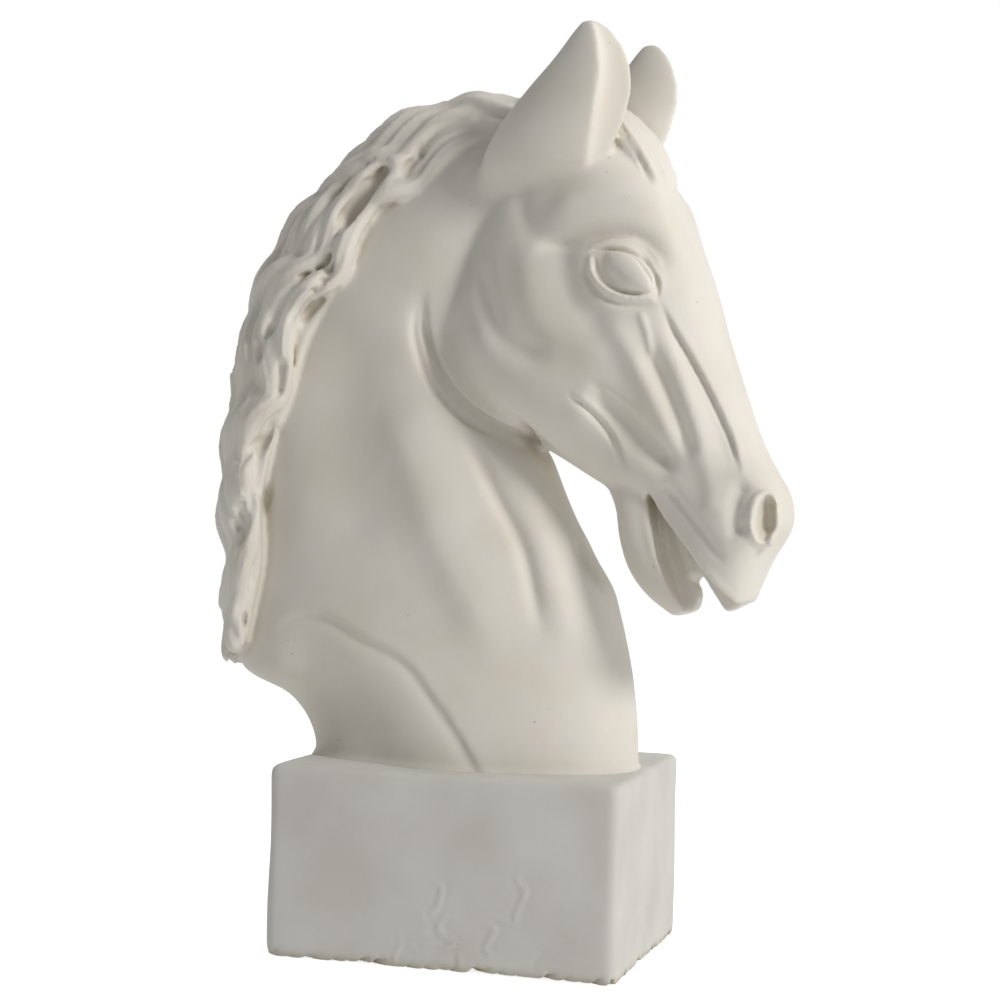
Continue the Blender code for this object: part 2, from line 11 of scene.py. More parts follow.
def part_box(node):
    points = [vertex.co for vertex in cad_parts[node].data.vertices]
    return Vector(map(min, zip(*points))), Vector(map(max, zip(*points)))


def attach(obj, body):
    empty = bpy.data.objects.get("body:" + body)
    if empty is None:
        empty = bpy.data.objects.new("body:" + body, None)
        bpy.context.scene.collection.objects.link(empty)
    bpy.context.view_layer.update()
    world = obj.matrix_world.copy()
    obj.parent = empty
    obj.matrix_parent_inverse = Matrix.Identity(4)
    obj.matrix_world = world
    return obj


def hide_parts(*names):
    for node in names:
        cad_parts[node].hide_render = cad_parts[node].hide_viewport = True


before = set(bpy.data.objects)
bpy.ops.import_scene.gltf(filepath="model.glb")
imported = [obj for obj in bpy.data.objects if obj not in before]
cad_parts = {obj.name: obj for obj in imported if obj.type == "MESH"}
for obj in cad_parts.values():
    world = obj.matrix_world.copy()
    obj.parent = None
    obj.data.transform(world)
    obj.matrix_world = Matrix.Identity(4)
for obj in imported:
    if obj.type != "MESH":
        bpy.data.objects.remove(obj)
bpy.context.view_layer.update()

bl_info = {
    "name": "Giant Chess Knight",
    "version": (1, 0, 0),
    "blender": (4, 5, 0),
    "location": "3D View > Sidebar > Chess Knight",
    "description": "Sculpts a cast plaster knight piece on its plinth",
    "category": "Add Mesh",
}

MM = 0.001
CORE_GRAIN = 0.002              # size of the faces of the skin before its details are added

# Places of the side plane are (x, z) in millimetres from the plinth's middle, before the head turns.
ORIGIN_SHIFT = -0.0094          # from the plinth's middle to the middle of the whole piece, along X
TURN_ANGLE = math.radians(12.0)
BEND_X = (-0.130, 0.030)        # the neck bends between these places
BEND_Z = (0.140, 0.320)         # and fully above the upper one of these heights
THROAT_POINT = (0.085, 0.235)   # what lies in front of a line through this point turns with the head
THROAT_SLOPE = -0.5
THROAT_STEP = 0.012

# Cross-sections of neck and head: front x, z, back x, z, half width, squareness in front, behind.
NECK = [
    (103, 100, -113, 100, 64, 2.2, 2.2),
    (103, 131, -113, 131, 61, 2.2, 2.2),
    (101, 165, -131, 157, 58, 2.1, 2.2),
    (96, 200, -169, 179, 56, 2.1, 2.2),
    (87, 236, -163, 240, 53, 2.0, 2.2),
    (70, 265, -162, 295, 50, 2.0, 2.2),
    (52, 300, -160, 344, 47, 2.0, 2.2),
    (38, 340, -150, 382, 44, 2.0, 2.2),
    (26, 384, -134, 420, 42, 2.0, 2.2),
    (27, 419, -112, 455, 40, 2.0, 2.2),
    (33, 444, -83, 487, 37, 2.0, 2.2),
    (48, 464, -46, 512, 33, 2.0, 2.2),
    (73, 474, 0, 524, 29, 2.0, 2.2),
    (90, 479, 43, 524, 22, 2.0, 2.0),
]
HEAD = [
    (63, 532, 6, 505, 22, 2.0, 2.0),
    (90, 525, -2, 472, 34, 2.2, 2.2),
    (117, 500, -10, 436, 43, 2.5, 2.6),
    (137, 463, -20, 403, 49, 2.7, 2.7),
    (152, 428, -8, 367, 50, 2.8, 3.0),
    (164, 394, 22, 338, 44, 2.6, 3.2),
    (177, 360, 60, 317, 37, 2.5, 2.6),
    (188, 333, 91, 300, 31, 2.5, 2.4),
    (199, 313, 116, 290, 28, 2.7, 2.3),
    (207, 298, 137, 272, 30, 3.0, 2.3),
    (208, 280, 152, 253, 30, 3.0, 2.3),
    (197, 259, 161, 240, 25, 2.6, 2.2),
    (187, 233, 172, 225, 16, 2.2, 2.0),
]
JAW = [
    (129, 312, 86, 310, 21, 2.2, 2.2),
    (127, 297, 98, 287, 23, 2.5, 2.2),
    (133, 272, 101, 269, 23, 2.8, 2.2),
    (144, 251, 107, 250, 21, 2.7, 2.2),
    (154, 238, 119, 234, 17, 2.4, 2.2),
    (153, 226, 137, 221, 10, 2.2, 2.0),
]
# An ear's sections: front x, z, back x, z, half width, middle y, depth of the cup, reach of its lips.
EAR = [
    (72, 476, 18, 472, 8, 18, 0.5, 170),
    (80, 486, 8, 480, 13, 23, 1, 168),
    (87, 496, 5, 489, 16, 28, 2, 164),
    (95, 509, 9, 501, 18.5, 33, 4, 154),
    (103, 528, 23, 520, 19, 38, 7, 142),
    (107, 549, 44, 542, 16.5, 41, 8, 132),
    (103, 568, 64, 562, 12, 42, 6, 126),
    (96, 580, 76, 577, 7, 42, 3, 122),
    (90, 585, 82, 584, 3.2, 42, 0.5, 120),
]
FAR_EAR_AHEAD = 3.0             # how far forward the left ear stands of the right one
EAR_RIM = 0.07                  # thickness of an ear's lips as a share of its width
EAR_OPENING = math.radians(12.0)        # how far outwards the opening of an ear looks

# The mane lies over the crest: outer point, inner edge on the neck's side, half width there.
MANE = [
    (127, 483, 108, 476, 8),
    (117, 507, 90, 483, 12),
    (94, 534, 73, 495, 13),
    (60, 546, 49, 507, 15),
    (17, 549, 13, 509, 20),
    (-28, 550, -22, 501, 30),
    (-71, 537, -49, 478, 39),
    (-102, 511, -75, 448, 44),
    (-140, 474, -96, 420, 46),
    (-164, 431, -115, 390, 47),
    (-176, 382, -125, 354, 48),
    (-181, 331, -137, 322, 49),
    (-183, 286, -144, 285, 50),
    (-178, 246, -142, 250, 51),
    (-178, 206, -147, 216, 52),
    (-174, 175, -152, 192, 48),
]

# Modelling strokes on both sides of the head and neck, in the side plane: heights in millimetres
# to the left and right of the line as it is drawn, their reaches, how sharp the step between is.
BROAD_STROKES = [
    # edge of the cheek, below which the neck lies deeper, and the roundness of the cheek
    ([(-24, 425), (-27, 408), (-22, 386), (-10, 364), (8, 347), (29, 335), (50, 328), (66, 325)],
     -2.0, 14, -7.5, 9.5, 1.4),
    ([(14, 412), (36, 376), (68, 354), (112, 336)], 4.0, 24, 4.0, 24, 4.0),
    # cheek: the hollow behind its ridge, the ridge and the hollow under the eye
    ([(12, 442), (18, 425), (26, 407), (36, 392), (50, 384), (74, 379)], -3.4, 8, -3.4, 8, 4.0),
    ([(46, 456), (52, 432), (59, 410), (70, 395), (90, 386), (118, 381)], 2.4, 10, 2.4, 10, 4.0),
    ([(72, 456), (78, 430), (88, 411), (110, 393)], -2.8, 9, -2.8, 9, 4.0),
    # hollow of the temple, hollow of the orbit over the eye and the brow
    ([(38, 492), (43, 472), (53, 456), (74, 445)], -1.8, 7, -1.8, 7, 4.0),
    ([(54, 446), (78, 450), (98, 454), (115, 454), (128, 447), (142, 431)], -8.0, 6, -8.0, 6, 3.0),
    ([(56, 464), (76, 474), (93, 479), (112, 479), (131, 470), (144, 458), (153, 438)], 4.0, 9, 4.0, 9, 3.0),
    # facial crest, the hollow behind it and the second crest
    ([(134, 404), (141, 390), (148, 374), (155, 352), (162, 327), (168, 306)], 3.4, 6.5, 3.4, 6.5, 3.0),
    ([(127, 388), (138, 368), (147, 348), (154, 331), (160, 315)], -4.6, 5.5, -4.6, 5.5, 3.0),
    ([(104, 404), (119, 386), (130, 366), (142, 342), (152, 318)], 3.6, 7, 3.6, 7, 3.0),
    ([(90, 360), (108, 346), (123, 333), (136, 320), (148, 306)], -5.4, 7, -5.4, 7, 3.0),
    # side plane of the nose
    ([(138, 411), (154, 382), (171, 349), (187, 306)], 1.0, 8, -3.0, 7, 2.0),
    # shoulder: a crisp step, and the hollow below and behind it
    ([(-136, 192), (-125, 206), (-111, 213), (-90, 213), (-66, 201), (-35, 187), (-18, 168), (5, 138),
      (19, 116), (34, 92)], 0.6, 8, -2.2, 7, 1.2),
    ([(-132, 186), (-104, 176), (-78, 152), (-58, 122), (-48, 70)], -5.5, 27, -5.5, 27, 6.0),
    # muscle of the neck, the groove in front of it, the next muscle and the plane of the throat
    ([(-54, 358), (-32, 324), (-20, 297), (-8, 265), (8, 234), (32, 184)], 5.0, 26, 5.0, 17, 4.0),
    ([(-2, 342), (15, 314), (27, 291), (39, 269), (47, 246), (54, 204)], -3.8, 4.2, -3.8, 4.2, 2.0),
    ([(24, 330), (42, 299), (53, 268), (62, 232), (72, 190)], 3.0, 9, 3.0, 9, 3.0),
    ([(16, 352), (50, 315), (63, 295), (67, 276), (72, 256), (86, 236), (106, 208)], -10.0, 10, 2.0, 6, 1.3),
    # long shallow hollow behind the muscle
    ([(-70, 410), (-84, 350), (-78, 300), (-56, 245)], -4.5, 28, -4.5, 28, 4.0),
]
# Deep pockets between the inner locks of the mane and the neck.
POCKET_STROKES = [
    ([(-56, 509), (-68, 494), (-79, 478), (-91, 460)], -11.0, 4.6, -11.0, 4.6, 1.5),
    ([(-34, 515), (-43, 504), (-49, 493)], -6.0, 2.8, -6.0, 2.8, 1.5),
    ([(-98, 448), (-96, 436), (-104, 420), (-126, 397)], -6.5, 3.2, -6.5, 3.2, 1.5),
    ([(-134, 402), (-144, 389), (-147, 372)], -6.0, 3.0, -6.0, 3.0, 1.5),
    ([(-126, 378), (-129, 364), (-130, 350)], -5.0, 3.0, -5.0, 3.0, 1.5),
    ([(-132, 336), (-146, 320), (-160, 306)], -6.5, 3.4, -6.5, 3.4, 1.5),
    ([(-140, 298), (-150, 272), (-158, 250)], -4.5, 4.0, -4.5, 4.0, 1.5),
    ([(-152, 288), (-160, 262)], -6.0, 3.0, -6.0, 3.0, 1.5),
    ([(-148, 238), (-152, 212), (-158, 190)], -2.0, 3.2, -2.0, 3.2, 1.5),
]
FINE_STROKES = [
    # sharp crease along the cheek's edge, and the fold of skin beside it
    ([(-25, 415), (-26, 400), (-20, 381), (-8, 362), (9, 346), (30, 335), (50, 329), (64, 326)],
     0.6, 5, -3.2, 3.0, 1.0),
    ([(-33, 414), (-35, 396), (-28, 374), (-15, 355), (4, 339), (24, 328)], -1.9, 1.8, -1.9, 1.8, 1.0),
    # eye: the crease under the upper lid, the groove inside the lower lid and the fold below it
    ([(91, 442.5), (97, 444.8), (105, 446), (115, 445), (124.5, 440.2), (132, 432), (136.5, 424), (137, 412)],
     0.8, 3.0, -3.4, 1.7, 0.6),
    ([(97, 442), (99, 433), (104, 425.5), (111, 420.8), (120, 418), (136, 417)], -1.5, 1.3, -1.5, 1.3, 0.6),
    ([(91, 438), (94, 427), (101, 418), (112, 411.5), (125, 409.5), (138, 411)], -1.3, 2.2, -1.3, 2.2, 0.8),
    # veins and creases of the face
    ([(80, 358), (93, 349), (104, 337), (111, 325), (116, 309)], 0.8, 4.0, -3.4, 2.8, 1.2),
    ([(93, 366), (112, 350), (128, 334), (146, 306)], -1.2, 2.8, -1.2, 2.8, 1.0),
    ([(126, 408), (131, 394), (134, 378)], 1.3, 2.2, 1.3, 2.2, 1.0),
    ([(137, 416), (145, 398), (154, 382), (163, 365), (171, 349), (178, 334), (184, 319), (188, 306)],
     1.2, 3.5, -2.6, 2.4, 0.8),
    ([(150, 446), (154, 430), (158, 414)], -1.8, 2.4, -1.8, 2.4, 1.0),
    # lips and the skin behind the nostril
    ([(124, 300), (141, 280), (156, 265), (171, 247), (184, 231)], 1.8, 4.0, 1.8, 4.0, 1.0),
    ([(123, 298), (127, 272), (137, 249), (146, 233)], 1.6, 3.0, 1.6, 3.0, 1.0),
    ([(133, 306), (148, 292), (166, 273), (182, 254)], -1.8, 3.6, -1.8, 3.6, 1.0),
    ([(192, 308), (186.5, 297), (186, 284), (191, 270)], -3.2, 5.4, -3.2, 5.4, 3.0),
    ([(166, 320), (170, 302), (172, 284)], 1.2, 6.0, 1.2, 6.0, 2.0),
]
# Strands of the forelock, between the ears.
FORELOCK_STROKES = [
    ([(78, 538), (92, 519), (99, 503), (108, 484)], -1.5, 2.2, 1.4, 3.4, 1.0),
    ([(90, 534), (104, 516), (113, 499), (123, 478)], -1.5, 2.2, 1.4, 3.4, 1.0),
    ([(104, 524), (117, 506), (129, 481)], -1.3, 2.0, 1.2, 3.0, 1.0),
]
UPPER_LID = [(92, 445), (98, 448), (106, 449.5), (116, 448.5), (126, 443), (133, 436), (138, 428)]
LOWER_LID = [(94.5, 440), (96, 431.5), (101, 423.5), (109, 418), (119, 415), (136, 414)]
NOSTRIL_RIM = [(202, 299.5), (205.5, 295), (207, 286), (206, 275), (202.5, 269), (198, 273), (196.3, 284),
               (197.8, 295)]

EYE_CENTRE = (117.5, 431.0)
EYE_RADII = (20.5, 10.2)
EYE_TILT = math.radians(-33.0)
EYE_SUNK = 0.0025               # from the skin down to the middle of the eyeball
EYE_BULGE = 0.0085              # from there out to its front
MOUTH_OPENING = [(122.5, 303), (133, 289), (147, 273), (158, 261), (171, 246), (190, 222), (158, 210),
                 (147, 226), (138, 242), (131, 259), (126.5, 280)]
MOUTH_WALL = 0.0045             # half the thickness of the wall that stays between the cheeks
TONGUE = [(128, 0, 294), (135, 0, 280), (142, 0, 265), (148, 0, 252), (151, 0, 244)]
NOSTRIL_CENTRE = (203.3, 284)
NOSTRIL_RADII = (4.6, 14.5)
NOSTRIL_TILT = math.radians(-3.0)
NOSTRIL_DEPTH = 0.010
NOSE_WALL = 0.012               # half the thickness of what stays between the nostrils
FAR_NOSTRIL_BACK = 0.007        # how far back the left nostril lies of the right one

# Lines along which the roots and the edges of the ears are smoothed, with reach and rounds.
EAR_SMOOTHING = [
    ([(-6, 486), (8, 488), (20, 490)], 16, 70),
    ([(0, 484), (26, 486), (52, 488), (80, 491)], 9, 16),
    ([(60, 584), (92, 576), (106, 550), (98, 516), (88, 498)], 16, 5),
]
FORELOCK_HALF_WIDTH = 0.022     # the smoothing of the ears stays outside it, the strands' strokes inside
# Places that get smaller faces for their detail: the eye, the nostril and the lips.
FINE_PLACES = [((117, 430), (32, 28)), (NOSTRIL_CENTRE, (20, 24)), ((160, 262), (40, 30))]
FOOT_HEIGHT = 118.7             # where the neck's skin ends, just above the plinth

# Outlines in the side plane of the places where the cast pieces part.
JAW_ZONE = [(76, 306), (112, 306), (127, 299), (133, 290), (144, 268), (154, 250), (163, 236),
            (166, 205), (76, 205)]
EAR_ZONE = [(2, 491), (60, 500), (99, 497), (118, 505), (140, 560), (120, 610), (60, 610), (0, 520)]
MANE_ZONE = [(140, 470), (104, 474), (86, 484), (70, 497), (49, 509), (13, 511), (-10, 508),
             (-40, 492), (-60, 470), (-80, 446), (-98, 420), (-115, 390), (-125, 354), (-135, 322),
             (-140, 285), (-139, 250), (-143, 216), (-150, 185), (-160, 150), (-260, 150),
             (-260, 640), (150, 640)]

EAR_SIDES = (("right_ear", -0.09, -0.014), ("left_ear", 0.014, 0.09))

PLINTH_PROUD = (0.0056, 0.0046)     # how much longer and wider the worn skin is than the bare shell
BASE_PLATE_SEAT = 0.0143            # height up to which the base plate sits in the plinth
CHIP_WAVES = (90.0, 161.0, 283.0, 417.0, 633.0)
CHIP_DEPTH = 0.0009
MARK_HEIGHT = 0.0006


def linear(hex_colour):
    """Linear red, green, blue and alpha of an sRGB hex colour."""
    channels = [int(hex_colour[k:k + 2], 16) / 255.0 for k in (1, 3, 5)]
    scene_light = [c / 12.92 if c <= 0.04045 else ((c + 0.055) / 1.055) ** 2.4 for c in channels]
    return (*scene_light, 1.0)


def eased(share):
    """From 0 to 1, with flat ends; takes arrays."""
    share = np.clip(share, 0.0, 1.0)
    return share * share * (3.0 - 2.0 * share)


def curve_through(knots, steps=6):
    """Smooth curve through knots that may have any number of values each."""
    knots = np.array(knots, float)
    padded = np.vstack([2.0 * knots[0] - knots[1], knots, 2.0 * knots[-1] - knots[-2]])
    share = np.linspace(0.0, 1.0, steps, endpoint=False)[:, None]
    spans = []
    for a, b, c, d in zip(padded, padded[1:], padded[2:], padded[3:]):
        cubic = 3.0 * b - a - 3.0 * c + d
        square = 2.0 * a - 5.0 * b + 4.0 * c - d
        spans.append(0.5 * (2.0 * b + (c - a) * share + square * share**2 + cubic * share**3))
    return np.vstack(spans + [knots[-1:]])


def unit(vectors):
    """Each vector brought to length 1."""
    return vectors / np.maximum(np.linalg.norm(vectors, axis=-1, keepdims=True), 1e-12)


# ---------------------------------------------------------------- meshes

def add_object(name, points, faces):
    """A mesh object whose faces point out."""
    mesh = bpy.data.meshes.new(name)
    mesh.from_pydata([tuple(point) for point in points], [], faces)
    bm = bmesh.new()
    bm.from_mesh(mesh)
    bmesh.ops.recalc_face_normals(bm, faces=bm.faces)
    bm.to_mesh(mesh)
    bm.free()
    obj = bpy.data.objects.new(name, mesh)
    bpy.context.scene.collection.objects.link(obj)
    return obj


class Clay:
    """Closed bodies that overlap, gathered to be fused into one skin."""

    def __init__(self):
        self.points = []
        self.faces = []

    def add_rings(self, rings):
        """One closed body over rings of as many points each."""
        rings = np.asarray(rings)
        start = sum(len(block) for block in self.points)
        count = rings.shape[1]
        self.points.append(rings.reshape(-1, 3))
        for row in range(len(rings) - 1):
            for k in range(count):
                after = (k + 1) % count
                lower = start + row * count
                upper = lower + count
                self.faces.append((lower + k, lower + after, upper + after, upper + k))
        last = start + (len(rings) - 1) * count
        self.faces.append(tuple(range(start, start + count)))
        self.faces.append(tuple(range(last, last + count)))

    def add_tube(self, path, outward, radii, flat=1.0, lobes=0, depth=0.0, twist=0.0, count=18):
        """A tube along a path; lobes make it a twisted bundle of strands."""
        tangent = unit(np.gradient(path, axis=0))
        side = unit(np.cross(tangent, outward))
        rise = np.cross(side, tangent)
        angle = np.linspace(0.0, 2.0 * math.pi, count, endpoint=False)[None, :]
        share = np.linspace(0.0, 1.0, len(path))[:, None]
        swell = 1.0 + depth * np.cos(lobes * (angle + twist * share))
        reach = np.asarray(radii)[:, None] * swell
        rings = path[:, None, :] + (reach * np.cos(angle))[:, :, None] * side[:, None, :]
        rings += flat * (reach * np.sin(angle))[:, :, None] * rise[:, None, :]
        self.add_rings(rings)

    def add_object(self, name):
        return add_object(name, np.vstack(self.points), self.faces)


def get_points(obj):
    values = np.empty(len(obj.data.vertices) * 3, np.float32)
    obj.data.vertices.foreach_get("co", values)
    return values.reshape(-1, 3).astype(float)


def set_points(obj, points):
    obj.data.vertices.foreach_set("co", points.astype(np.float32).ravel())
    obj.data.update()


def get_normals(obj):
    values = np.empty(len(obj.data.vertices) * 3, np.float32)
    obj.data.vertices.foreach_get("normal", values)
    return values.reshape(-1, 3).astype(float)


def get_edges(obj):
    values = np.empty(len(obj.data.edges) * 2, np.int32)
    obj.data.edges.foreach_get("vertices", values)
    return values.reshape(-1, 2)


def relaxed(values, edges, share=0.5, rounds=1):
    """Each value drawn towards the mean of its neighbours on the mesh."""
    first, second = edges[:, 0], edges[:, 1]
    amount = len(values)
    neighbours = np.maximum(np.bincount(edges.ravel(), minlength=amount), 1)
    values = values.copy()
    for _ in range(rounds):
        for axis in range(values.shape[1]):
            column = values[:, axis]
            total = np.bincount(first, weights=column[second], minlength=amount)
            total += np.bincount(second, weights=column[first], minlength=amount)
            values[:, axis] = column + share * (total / neighbours - column)
    return values


def kept_form(obj):
    """Keep the mesh as its modifiers leave it."""
    graph = bpy.context.evaluated_depsgraph_get()
    mesh = bpy.data.meshes.new_from_object(obj.evaluated_get(graph))
    obj.modifiers.clear()
    obj.data = mesh
    return obj


def fused(obj, grain):
    """One skin of even small faces over all that overlaps."""
    modifier = obj.modifiers.new("fuse", "REMESH")
    modifier.mode = "VOXEL"
    modifier.voxel_size = grain
    modifier.use_smooth_shade = True
    return kept_form(obj)


def combined(obj, other, operation):
    """Boolean of two closed meshes; the other one stays."""
    modifier = obj.modifiers.new(operation.lower(), "BOOLEAN")
    modifier.operation = operation
    modifier.solver = "MANIFOLD"
    modifier.object = other
    return kept_form(obj)


def copied(obj, name):
    """A second object with a mesh of its own."""
    twin = bpy.data.objects.new(name, obj.data.copy())
    bpy.context.scene.collection.objects.link(twin)
    return twin


def add_prism(name, outline, low, high):
    """Prism across the side plane, from one y to another."""
    clay = Clay()
    outline = np.array(outline, float) * MM
    ring_pair = []
    for y in (low, high):
        ring_pair.append(np.column_stack([outline[:, 0], np.full(len(outline), y), outline[:, 1]]))
    clay.add_rings(ring_pair)
    return clay.add_object(name)


def section_rings(stations, steps=8, count=72):
    """Smooth rounded cross-sections of neck, head or jaw."""
    angle = np.linspace(0.0, 2.0 * math.pi, count, endpoint=False)
    cosine, sine = np.cos(angle), np.sin(angle)
    rings = []
    for row in curve_through(stations, steps):
        front = np.array([row[0], 0.0, row[1]]) * MM
        back = np.array([row[2], 0.0, row[3]]) * MM
        power = 2.0 / np.where(cosine > 0.0, row[5], row[6])
        along = np.sign(cosine) * np.abs(cosine) ** power
        across = np.sign(sine) * np.abs(sine) ** power
        ring = (front + back) / 2.0 + along[:, None] * (front - back) / 2.0
        ring[:, 1] = across * row[4] * MM
        rings.append(ring)
    return rings


def ear_rings(side, steps=8, count=28):
    """Leaf of an ear with a shallow cup in front: its outer wall, then the cup from lip to lip."""
    ahead = FAR_EAR_AHEAD if side > 0 else 0.0
    rings = []
    for row in curve_through(EAR, steps):
        front = np.array([row[0] + ahead, 0.0, row[1]]) * MM
        back = np.array([row[2] + ahead, 0.0, row[3]]) * MM
        lip = math.radians(row[7])
        backwards = unit(back - front)
        reach = np.linalg.norm(front - back) / (1.0 - math.cos(lip))
        middle = back - backwards * reach
        middle[1] = side * row[5] * MM
        sideways = np.array([0.0, -side, 0.0])
        turned = np.linspace(-lip, lip, 2 * count) + EAR_OPENING
        wall = middle + np.cos(turned)[:, None] * backwards * reach
        wall += np.sin(turned)[:, None] * sideways * row[4] * MM
        across = np.linspace(0.0, 1.0, count)[:, None]
        share = EAR_RIM + (1.0 - 2.0 * EAR_RIM) * across
        cup = wall[-1] * (1.0 - share) + wall[0] * share
        cup += backwards * row[6] * MM * np.sin(math.pi * across)
        rings.append(np.vstack([wall, cup]))
    return rings


def reach_of_line(flat_points, line):
    """For points of the side plane: distance to the line, its side, and how far along it is."""
    amount = len(flat_points)
    best = np.full(amount, 1e9)
    side = np.ones(amount)
    along = np.zeros(amount)
    walked = 0.0
    for start, end in zip(line, line[1:]):
        step = end - start
        length = math.hypot(*step)
        share = np.clip((flat_points - start) @ step / length**2, 0.0, 1.0)
        offset = flat_points - start - share[:, None] * step
        distance = np.hypot(offset[:, 0], offset[:, 1])
        nearer = distance < best
        turn = step[0] * offset[:, 1] - step[1] * offset[:, 0]
        best = np.where(nearer, distance, best)
        side = np.where(nearer, np.sign(turn), side)
        along = np.where(nearer, walked + share * length, along)
        walked += length
    return best, side, along / walked


def stroke(obj, strokes, strength, within=1.0):
    """Raise or lower the surface along lines, on both sides and no further out than a distance."""
    points = get_points(obj)
    normals = relaxed(get_normals(obj), get_edges(obj), 0.5, 3)
    facing = eased((np.abs(normals[:, 1]) - 0.15) / 0.4) * (np.abs(points[:, 1]) < within)
    flat = points[:, [0, 2]]
    height = np.zeros(len(points))
    for line, left, left_reach, right, right_reach, step in strokes:
        left, right = left * strength, right * strength
        line = curve_through(line) * MM
        widest = 2.5 * max(left_reach, right_reach) * MM
        low, high = line.min(0) - widest, line.max(0) + widest
        near = np.where(np.all((flat > low) & (flat < high), axis=1) & (facing > 0.0))[0]
        distance, side, along = reach_of_line(flat[near], line)
        distance = distance / MM
        fade = eased(along / 0.22) * eased((1.0 - along) / 0.22)
        share = 0.5 + 0.5 * np.tanh(side * distance / step)
        left_form = left * np.exp(-(distance / left_reach) ** 2)
        right_form = right * np.exp(-(distance / right_reach) ** 2)
        height[near] += (share * left_form + (1.0 - share) * right_form) * fade * facing[near]
    set_points(obj, points + normals * height[:, None] * MM)


def inside_oval(points, centre, radii, tilt):
    """Squared distance from an oval's middle in the side plane: 1 on its edge."""
    away_x = points[:, 0] - centre[0] * MM
    away_z = points[:, 2] - centre[1] * MM
    along = away_x * math.cos(tilt) + away_z * math.sin(tilt)
    across = away_z * math.cos(tilt) - away_x * math.sin(tilt)
    return (along / (radii[0] * MM)) ** 2 + (across / (radii[1] * MM)) ** 2


def turned_head(obj):
    """Bend the neck sideways along an arc, so that the head looks to its right."""
    points = get_points(obj)
    x, y, z = points.T
    share = eased((z - BEND_Z[0]) / (BEND_Z[1] - BEND_Z[0]))
    gap_x = THROAT_POINT[0] + THROAT_SLOPE * (z - THROAT_POINT[1])
    beyond_gap = np.where(z > BEND_Z[0], eased((x - gap_x) / THROAT_STEP), 0.0)
    turn = TURN_ANGLE * np.maximum(share, beyond_gap)
    start, end = BEND_X
    length = end - start
    bent = (turn > 1e-6) & (x > start)
    safe_turn = np.where(bent, turn, 1.0)
    heading = safe_turn * np.minimum(x - start, length) / length
    radius = length / safe_turn
    beyond = np.maximum(x - end, 0.0)
    bent_x = start + (radius + y) * np.sin(heading) + beyond * np.cos(heading)
    bent_y = (radius + y) * np.cos(heading) - radius - beyond * np.sin(heading)
    points[:, 0] = np.where(bent, bent_x, x) + ORIGIN_SHIFT
    points[:, 1] = np.where(bent, bent_y, y)
    set_points(obj, points)
    return obj


def surface_depth(tree, x, z, side):
    """How far out the skin lies at a place of the side plane."""
    hit = tree.ray_cast(Vector((x, side * 0.2, z)), Vector((0.0, -side, 0.0)))[0]
    return abs(hit.y) if hit else 0.02


def soften(obj, line, reach, rounds, off_middle):
    """Smooth the surface near a line of the side plane, such as where an ear grows out of the head."""
    points = get_points(obj)
    distance = reach_of_line(points[:, [0, 2]], curve_through(line) * MM)[0]
    share = np.exp(-(distance / (reach * MM)) ** 2)[:, None]
    share *= eased((np.abs(points[:, 1]) - off_middle) / 0.006)[:, None]
    smooth = relaxed(points, get_edges(obj), 0.5, rounds)
    set_points(obj, points + (smooth - points) * share)


def refine(obj, centre, radii):
    """Split the faces of an oval place of the side plane, for crisp detail."""
    bm = bmesh.new()
    bm.from_mesh(obj.data)
    points = np.array([v.co for v in bm.verts])
    near = inside_oval(points, centre, radii, 0.0) < 1.0
    bm.edges.ensure_lookup_table()
    edges = [e for e in bm.edges if near[e.verts[0].index] and near[e.verts[1].index]]
    bmesh.ops.subdivide_edges(bm, edges=edges, cuts=1, use_grid_fill=True, smooth=0.0)
    bm.to_mesh(obj.data)
    bm.free()


def path_on_skin(tree, line, side, lift, steps=6):
    """A path that lies on the skin above a line of the side plane."""
    flat = curve_through(line, steps) * MM
    depth = np.array([surface_depth(tree, x, z, side) for x, z in flat])
    depth = np.convolve(np.pad(depth, 2, "edge"), np.ones(5) / 5.0, "valid")
    return np.column_stack([flat[:, 0], side * (depth + lift), flat[:, 1]])


# ---------------------------------------------------------------- mane

def crest_places():
    """Dense stations of the mane, with the share of its length at each."""
    dense = curve_through(MANE, 12) * MM
    walked = np.concatenate([[0.0], np.cumsum(np.hypot(*np.diff(dense[:, :2], axis=0).T))])
    return dense, walked / walked[-1]


def on_crest(share, lean):
    """Point and outward direction on the mane's arch; lean is 0 on the crest, 90 degrees at its edge."""
    dense, walked = crest_places()
    values = [np.interp(share, walked, dense[:, k]) for k in range(5)]
    outer = np.column_stack([values[0], np.zeros(len(share)), values[1]])
    inner = np.column_stack([values[2], np.zeros(len(share)), values[3]])
    sideways = np.array([[0.0, 1.0, 0.0]])
    up = outer - inner
    height = np.linalg.norm(up, axis=1, keepdims=True)
    half_width = values[4][:, None]
    cosine, sine = np.cos(lean)[:, None], np.sin(lean)[:, None]
    point = inner + up * cosine + sideways * half_width * sine
    outward = unit(up / height * cosine / height + sideways * sine / half_width)
    return point, outward


def mane_base(clay):
    """The body of the mane under its locks."""
    dense, walked = crest_places()
    lean = np.radians(np.linspace(-90.0, 90.0, 33))
    rings = []
    for share in walked:
        point, outward = on_crest(np.full(33, share), lean)
        sunk = 0.003 + 0.0065 * min(1.0, max(0.0, share - 0.2) / 0.2)
        arch = point - outward * sunk
        closing = [arch[-1] * (1.0 - s) + arch[0] * s for s in (0.25, 0.5, 0.75)]
        rings.append(np.vstack([arch, closing]))
    clay.add_rings(rings)


